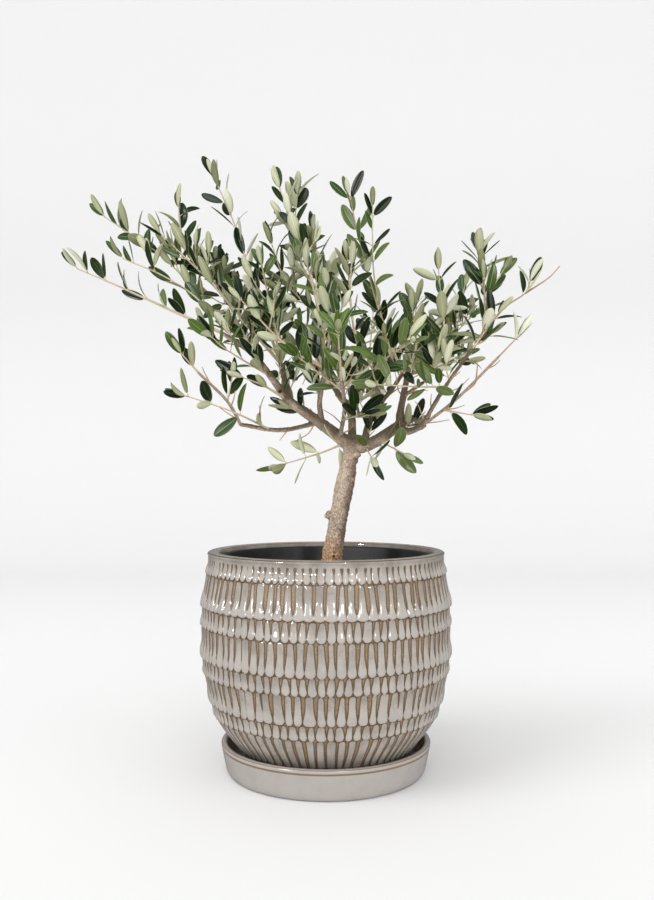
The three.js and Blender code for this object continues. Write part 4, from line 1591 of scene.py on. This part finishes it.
@dataclass
class Leaves:
    """Leaves of one piece, gathered and then made all at once.

    `stalk` is a stalk's length and `thick` half a blade's thickness. The rib lies in the upper
    side by `groove` and stands out of the under side by `ridge`. `rows` holds each leaf's foot,
    way, face and shape, and `tints` its two greens.
    """

    stalk: float = 3.2
    thick: float = 0.17
    groove: float = 0.05
    ridge: float = 0.16
    rows: list = field(default_factory=list)
    tints: list = field(default_factory=list)

    def grow(self, foot: np.ndarray, way: np.ndarray, face: np.ndarray, size: float, broad: float,
             upper: int, under: int, dice: np.random.Generator) -> None:
        """Adds one leaf.

        Args:
            foot: Where its stalk leaves the twig.
            way: The way that it points.
            face: The way that its upper side faces.
            size: Its length.
            broad: Its width as a share of its length.
            upper: Which green.
            under: Which pale green of the under side.
            dice: The source of chance.
        """
        face = unit(face - way * (face @ way))
        roll = dice.normal(0, 0.45)
        face = face * math.cos(roll) + np.cross(way, face) * math.sin(roll)
        fold, curl = dice.uniform(0.12, 0.4), dice.normal(0.14, 0.38)
        sickle, twist = dice.normal(0, 0.06), dice.normal(0, 0.16)
        widest = dice.uniform(0.45, 0.58)
        shape = [size, size * broad / 2, fold, curl, sickle, twist, widest]
        self.rows.append(np.concatenate([foot, way, face, shape]))
        self.tints.append((upper, under))

    def into(self, batch: Batch) -> None:
        """Adds all the leaves to a batch.

        Args:
            batch: Where they go.
        """
        pattern, table = LeafPattern(), np.array(self.rows)
        foot, way, face = table[:, None, 0:3], table[:, None, 3:6], table[:, None, 6:9]
        size, half, fold, curl, sickle, twist, widest = (table[:, [k]] for k in range(9, 16))
        side = np.cross(way, face)
        rise, column, front = pattern.rise[None], pattern.side[None], pattern.face[None]
        warped = rise ** (np.log(0.5) / np.log(widest))
        outline = np.clip(4 * warped * (1 - warped), 0, 1) ** 0.6
        width, on_rib = half * outline, np.abs(column) < 0.1
        bend = np.where(np.abs(curl) < 0.02, 0.02, curl)
        along = size * np.sin(bend * rise) / bend
        sink = -size * (1 - np.cos(bend * rise)) / bend
        lift = width * (fold * 1.1 * np.abs(column) - 0.16 * np.abs(column) ** 3) + front * self.thick
        lift -= (front < 0) * on_rib * self.ridge * outline
        lift -= (front > 0) * on_rib * self.groove
        slope, drift = twist * rise, column * width
        over = drift * np.cos(slope) - lift * np.sin(slope) + sickle * size * rise ** 2
        up = drift * np.sin(slope) + lift * np.cos(slope) + sink
        points = foot + way * (along + self.stalk)[..., None] + side * over[..., None] + face * up[..., None]
        count, each = points.shape[:2]
        base = batch.count + (np.arange(count) * each)[:, None, None]
        batch.add(points.reshape(-1, 3), np.empty((0, 4), int))
        for faces, zones in pattern.faces:
            rows = (faces[None] + base).reshape(-1, faces.shape[1])
            batch.add(points[0, :0], rows, self.finishes(zones).ravel(), own=False)
        self.stalks(batch, foot[:, 0], way[:, 0], side[:, 0], face[:, 0])

    def finishes(self, zones: np.ndarray) -> np.ndarray:
        """Which finish the faces of the leaves take.

        Args:
            zones: The zone of each face of one leaf.

        Returns:
            A row of finishes for each leaf.
        """
        upper, under = (column[:, None] for column in np.array(self.tints).T)
        palest = RIB - 1
        by_zone = {Zone.MARGIN: RIB, Zone.UPPER: upper, Zone.MIDRIB: np.where(upper < 2, upper + 2, RIB),
                   Zone.UNDER: len(Tint) + under, Zone.UNDER_RIB: np.minimum(palest, len(Tint) + under + 1)}
        finish = np.empty((len(upper), len(zones)), int)
        for zone, chosen in by_zone.items():
            finish[:, zones == zone.value] = chosen
        return finish

    def stalks(self, batch: Batch, foot: np.ndarray, way: np.ndarray, side: np.ndarray, face: np.ndarray) -> None:
        """Adds a small stalk for each leaf.

        Args:
            batch: Where they go.
            foot: Where each starts.
            way: Where each points.
            side: Square to that.
            face: Square to both.
        """
        sunk, overlap, low_radius, high_radius = 0.6, 1.2, 0.62, 0.42
        angle = np.arange(4) / 4 * TURN
        turn = side[:, None] * np.cos(angle)[None, :, None] + face[:, None] * np.sin(angle)[None, :, None]
        low = foot[:, None] - way[:, None] * sunk + turn * low_radius
        high = foot[:, None] + way[:, None] * (self.stalk + overlap) + turn * high_radius
        points = np.concatenate([low, high], axis=1)
        faces = [[k, (k + 1) % 4, 4 + (k + 1) % 4, 4 + k] for k in range(4)] + [[3, 2, 1, 0], [4, 5, 6, 7]]
        rows = np.array(faces)[None] + (np.arange(len(foot)) * 8)[:, None, None]
        batch.add(points.reshape(-1, 3), rows.reshape(-1, 4), STALK)


@dataclass(frozen=True)
class Habit:
    """How every twig bears its leaves.

    `sizes` and `leans` are places along a twig, with the length of leaves and the degrees at
    which they stand out there. `missing`, `same_upper` and `same_under` are chances: that a leaf
    is missing, and that it has its twig's own greens. The rest of `side_` is for side twigs, and
    `light` is the way that most leaves face.
    """

    thin: float = 0.62
    side_gap: float = 0.82
    side_size: float = 0.93
    side_radius: float = 0.95
    sizes: tuple = ((0, 0.25, 0.75, 1), (25, 31, 31, 29))
    leans: tuple = ((0, 0.8, 1), (58, 51, 38))
    lean_spread: float = 13
    twigs_within: tuple = (0.04, 0.86)
    missing: float = 0.07
    same_upper: float = 0.66
    same_under: float = 0.6
    upper_odds: tuple = (0.34, 0.32, 0.19, 0.15)
    under_odds: tuple = (0.25, 0.3, 0.27, 0.18)
    light: tuple = (-0.16, -0.52, 0.36)


@dataclass
class Mass:
    """One mass of twigs and leaves, grown with its own source of chance."""

    name: str
    seed: int
    habit: Habit = Habit()
    twigs: Batch = field(default_factory=Batch)
    leaves: Leaves = field(default_factory=Leaves)

    def __post_init__(self) -> None:
        """Starts its source of chance."""
        self.dice = np.random.default_rng(self.seed)

    def green(self, shoot: Shoot) -> int:
        """Returns one of the greens, by chance."""
        rest = 1 - shoot.fresh - shoot.pale
        odds = [share * rest for share in self.habit.upper_odds] + [shoot.pale, shoot.fresh]
        return int(self.dice.choice(len(Tint), p=odds))

    def leafy(self, line: Line, shoot: Shoot, thick: float, main: bool = True) -> None:
        """Grows a twig along a line, with its pairs of leaves and its side twigs.

        Args:
            line: The twig's line.
            shoot: The shoot that it is, or that it branches from.
            thick: Its radius at the foot.
            main: False for a side twig.
        """
        habit, dice = self.habit, self.dice
        upper = self.green(shoot)
        under = int(dice.choice(len(DRESS.under), p=habit.under_odds))
        share = np.linspace(0, 1, max(5, int(line.length / 5)))
        radii = thick + (habit.thin - thick) * share ** 0.8
        finish = 2 if shoot.bare > 0.5 else 0 if main and thick > 1.2 else 1
        tube(self.twigs, line.at(share), radii, 7 if main else 5, finish)
        phase = dice.uniform(0, TURN)
        far, number = max(shoot.bare * line.length, 7.0) if main else 5.0, 0
        step = shoot.step * (1 if main else habit.side_gap)
        while far < line.length + 0.4 * step:
            rise = min(far / line.length, 1.0)
            spot, heading = line.at(rise), line.heading(rise)
            side, other = square(heading)
            turn = phase + number * TURN / 4 + dice.normal(0, 0.22)
            out = side * math.cos(turn) + other * math.sin(turn)
            size = np.interp(rise, *habit.sizes) * (1 if main else habit.side_size)
            radius = float(np.interp(rise, share, radii))
            for away in (out, -out):
                lean = math.radians(np.interp(rise, *habit.leans) + dice.normal(0, habit.lean_spread))
                rising = UP * (dice.uniform(0.0, 0.9) * shoot.lift)
                way = unit(heading * math.cos(lean) + away * math.sin(lean) + rising)
                first, last = habit.twigs_within
                if main and first < rise < last and dice.random() < shoot.twiggy:
                    self.side_twig(spot, way, shoot)
                    continue
                if dice.random() < habit.missing:
                    continue
                towards = np.array(habit.light) * dice.uniform(0.2, 1.7) * shoot.turned
                face = unit((heading - way * (heading @ way)) * 0.8 + towards)
                tint = upper if dice.random() < habit.same_upper else self.green(shoot)
                pale = under if dice.random() < habit.same_under else int(dice.integers(len(DRESS.under)))
                long, broad = size * dice.uniform(0.74, 1.16), dice.uniform(0.31, 0.42)
                self.leaves.grow(spot + away * radius * 0.6, way, face, long, broad, tint, pale, dice)
            number += 1
            far += step * dice.uniform(0.78, 1.22)
        if shoot.bare <= 1:
            self.tip_leaves(line, shoot, upper, under)

    def tip_leaves(self, line: Line, shoot: Shoot, upper: int, under: int) -> None:
        """Grows the last pair of leaves, small and narrow, at a twig's tip.

        Args:
            line: The twig's line.
            shoot: The shoot that it is, or that it branches from.
            upper: Their green.
            under: Their pale green.
        """
        heading = line.heading(1.0)
        side, _ = square(heading)
        for out in (side, -side):
            way = unit(heading + out * self.dice.uniform(0.25, 0.6) + UP * (0.6 * shoot.lift - 0.6))
            self.leaves.grow(line.at(1.0), way, unit(heading * 0.2 - out), self.dice.uniform(19, 28), 0.3,
                             upper, under, self.dice)

    def side_twig(self, spot: np.ndarray, way: np.ndarray, shoot: Shoot) -> None:
        """Grows a short side twig that turns up towards the light.

        Args:
            spot: Where it starts.
            way: The way that it starts.
            shoot: The shoot that it branches from.
        """
        reach = shoot.reach * self.dice.uniform(0.7, 1.35)
        middle = spot + way * reach * 0.5 + self.dice.normal(0, 0.8, 3)
        tip = middle + unit(way + UP * 0.45) * reach * 0.5
        self.leafy(Line([spot, middle, tip]), shoot, self.habit.side_radius, main=False)

    def snag(self, line: Line, share: float) -> None:
        """Grows a thin bare twig, kinked at its nodes, from a limb.

        Args:
            line: The limb's line.
            share: Where on it.
        """
        dice, spot, heading = self.dice, line.at(share), line.heading(share)
        side, other = square(heading)
        turn = dice.uniform(0, TURN)
        way = unit(heading * 0.6 + side * math.cos(turn) + other * math.sin(turn) + UP * 0.5)
        points = [spot]
        for _ in range(int(dice.integers(2, 5))):
            points.append(points[-1] + way * dice.uniform(6, 12))
            way = unit(way + dice.normal(0, 0.2, 3) + UP * 0.1)
        centres = Line(points).at(np.linspace(0, 1, 4 * len(points)))
        tube(self.twigs, centres, np.linspace(0.95, 0.45, len(centres)), 6, 2)


@dataclass
class Crown:
    """All the masses of foliage, each with a seed that counts on from the first.

    `first_snag` is where bare snags start on a limb that leaves the trunk, as a share of it.
    `snag_gap` and `spur_gap` are the least and the greatest gap between snags and between spurs.
    """

    wood: Wood
    twig: tuple = (Finish("twig_tan", paint(206, 188, 160), 0.7, 0.3, 900.0, 0.0005),
                   Finish("twig_green", paint(196, 190, 148), 0.6, 0.2, 900.0, 0.0004),
                   Finish("twig_brown", paint(182, 150, 118), 0.75, 0.3, 900.0, 0.0005))
    first_seed: int = 1000
    spur_seed: int = 404
    first_snag: float = 0.5
    snag_gap: tuple = (15, 34)
    spur_gap: tuple = (24, 46)
    count: int = 0
    lines: dict = field(default_factory=dict)

    def __post_init__(self) -> None:
        """Lays out the line of each shoot and makes the materials."""
        self.lines = dict(self.wood.lines)
        for shoot in SHOOTS:
            foot = self.lines[shoot.parent].at(shoot.at)
            self.lines[shoot.name] = Line([foot, *shoot.bends, shoot.tip])
        self.twig_dress = [finish.material() for finish in self.twig]
        self.leaf_dress = DRESS.materials()

    @staticmethod
    def foot_radius(shoot: Shoot) -> float:
        """Returns the radius that a shoot starts with, from the limb it goes on from."""
        for limb in LIMBS:
            if limb.name == shoot.parent:
                return min(limb.radius[1] * 0.92, 2.1) if shoot.at > 0.85 else 1.35
        return 1.1

    def spurs(self) -> None:
        """Grows short leafy spurs, and then bare snags, on the limbs inside the crown."""
        mass = Mass("spurs", self.spur_seed)
        dice = mass.dice
        for limb in LIMBS:
            line = self.lines[limb.name]
            far = line.length * SPURS_FROM.get(limb.name, 0.2)
            while far < line.length - 6:
                spot, heading = line.at(far / line.length), line.heading(far / line.length)
                side, other = square(heading)
                turn = dice.uniform(0, TURN)
                way = unit(heading * 0.5 + side * math.cos(turn) + other * math.sin(turn) + UP * 0.55)
                if dice.random() < 0.75:
                    mass.side_twig(spot, way, SPUR)
                far += dice.uniform(*self.spur_gap)
        for limb in LIMBS:
            line = self.lines[limb.name]
            far = self.first_snag * line.length if limb.parent == "trunk" else 6.0
            while far < line.length - 4 and limb.name != "right_stub":
                mass.snag(line, far / line.length)
                far += dice.uniform(*self.snag_gap)
        self.pieces(mass, [])

    def pieces(self, mass: Mass, stands_for: list[str]) -> None:
        """Makes the piece of twigs and the piece of leaves.

        Args:
            mass: The mass.
            stands_for: The construction nodes that the leaves replace.
        """
        mass.twigs.build(f"twigs_{mass.name}", self.twig_dress, "bark")
        batch = Batch()
        mass.leaves.into(batch)
        batch.build(f"foliage_{mass.name}", self.leaf_dress, "leaves", stands_for)
        self.count += len(mass.leaves.rows)

    def build(self) -> None:
        """Makes every mass's twigs and leaves."""
        masses: dict[str, list[Shoot]] = {}
        for shoot in SHOOTS:
            masses.setdefault(shoot.mass or shoot.name, []).append(shoot)
        for number, (name, shoots) in enumerate(masses.items()):
            mass = Mass(name, self.first_seed + number)
            for shoot in shoots:
                mass.leafy(self.lines[shoot.name], shoot, self.foot_radius(shoot))
            self.pieces(mass, [f"leaves_{name}"])
        self.spurs()
        log.info("crown: %d leaves", self.count)


# ---- studio ----


class LampKind(Enum):
    """A sun lights without showing in gloss, and a panel only shows in gloss."""

    SUN = "SUN"
    PANEL = "AREA"


@dataclass(frozen=True)
class Lamp:
    """One lamp, aimed at a height on the pot's axis.

    `size` is the degrees that a sun spans, or the side of a panel.
    """

    kind: LampKind
    energy: float
    place: Place
    size: float
    aim: float = 0.0

    def build(self) -> None:
        """Hangs the lamp."""
        label, sun = self.kind.value, self.kind is LampKind.SUN
        data = bpy.data.lights.new(label.lower(), label)
        data.energy = self.energy
        if sun:
            data.angle = math.radians(self.size)
        else:
            data.size = self.size
        made = bpy.data.objects.new(label.lower(), data)
        bpy.context.scene.collection.objects.link(made)
        made.location = self.place
        made.visible_glossy, made.visible_diffuse = not sun, sun
        gap = Vector((0, 0, self.aim)) - Vector(self.place)
        made.rotation_euler = gap.to_track_quat("-Z", "Y").to_euler()


@dataclass
class Studio:
    """A pale floor that sweeps up behind, soft light and the camera, all in metres.

    `rise` shifts the picture up by a share of its height, `air` is the strength of the light from
    all round and `mirrored_air` its strength in gloss, and the floor bends up at `turn_at`.
    """

    eye: Place = (0.0011, -1.02, 0.331)
    rise: float = 23.7 / 900
    sensor: float = 36
    lens: float = 905 / 900 * 36
    clip: tuple = (0.05, 30)
    air: float = 0.63
    mirrored_air: float = 0.25
    turn_at: float = 1.9
    turn_radius: float = 1.2
    paper: PaperFinish = PaperFinish("floor_paper", paint(236, 236, 236), 0.9, 0.05, 300.0,
                                     second=paint(217, 217, 217), third=paint(222, 222, 222))
    lamps: tuple = (
        Lamp(LampKind.SUN, 0.78, (-1.62, -0.92, 2.1), 30),
        Lamp(LampKind.SUN, 0.66, (1.35, -1.35, 0.6), 70),
        Lamp(LampKind.SUN, 0.84, (-0.1, -1.7, 0.5), 50),
        Lamp(LampKind.SUN, 0.54, (-0.2, -0.5, 2.5), 60),
        Lamp(LampKind.PANEL, 18, (-1.0, -1.1, 0.68), 0.15, 0.22),
        Lamp(LampKind.PANEL, 14, (0.42, -1.4, 0.78), 0.14, 0.22),
        Lamp(LampKind.PANEL, 9, (-0.4, -0.5, 1.9), 0.9, 0.4),
    )

    def sweep(self) -> None:
        """Makes the floor and the wall behind it as one sheet."""
        near, top, half = -4.0, 5.0, 5.0
        run = [(near, 0.0), (self.turn_at, 0.0)]
        run += [(self.turn_at + self.turn_radius * math.sin(a), self.turn_radius - self.turn_radius * math.cos(a))
                for a in np.linspace(0.1, math.pi / 2, 14)]
        run += [(self.turn_at + self.turn_radius, top)]
        points = [(x, y, z) for y, z in run for x in (-half, half)]
        faces = [(2 * k, 2 * k + 1, 2 * k + 3, 2 * k + 2) for k in range(len(run) - 1)]
        mesh = bpy.data.meshes.new("floor_sweep")
        mesh.from_pydata(points, [], faces)
        mesh.polygons.foreach_set("use_smooth", [True] * len(faces))
        mesh.materials.append(self.paper.material())
        sheet = bpy.data.objects.new("floor_sweep", mesh)
        bpy.context.scene.collection.objects.link(sheet)
        sheet.visible_glossy = False

    def surroundings(self) -> None:
        """Makes the light from all round, weaker where it shows in gloss."""
        world = bpy.data.worlds.new("studio_air")
        world.use_nodes = True
        background = world.node_tree.nodes["Background"]
        background.inputs["Color"].default_value = (1, 1, 1, 1)
        pen = Pen(world.node_tree)
        mirrored = pen.node("ShaderNodeLightPath").outputs["Is Glossy Ray"]
        strength = pen.minus(self.air, pen.times(mirrored, self.air - self.mirrored_air))
        pen.feed(background.inputs["Strength"], strength)
        bpy.context.scene.world = world

    def camera(self) -> None:
        """Sets the camera level, and its picture shifted up."""
        data = bpy.data.cameras.new("camera")
        data.lens, data.sensor_width, data.shift_y = self.lens, self.sensor, self.rise
        data.clip_start, data.clip_end = self.clip
        camera = bpy.data.objects.new("camera", data)
        bpy.context.scene.collection.objects.link(camera)
        camera.location = self.eye
        camera.rotation_euler = (math.pi / 2, 0, 0)
        bpy.context.scene.camera = camera

    def build(self) -> None:
        """Sets the stage."""
        self.sweep()
        self.surroundings()
        for lamp in self.lamps:
            lamp.build()
        view = bpy.context.scene.view_settings
        view.view_transform, view.look = "Standard", "None"
        self.camera()


def main() -> None:
    """Builds the stage, the vessels, the wood and the crown."""
    logging.basicConfig(level=logging.INFO, format="%(name)s: %(message)s")
    Studio().build()
    for part in (CoverPot(), Saucer(), GrowersPot(), Soil()):
        part.build()
    wood = Wood()
    wood.build()
    Crown(wood).build()
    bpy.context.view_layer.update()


if __name__ == "__main__":
    main()
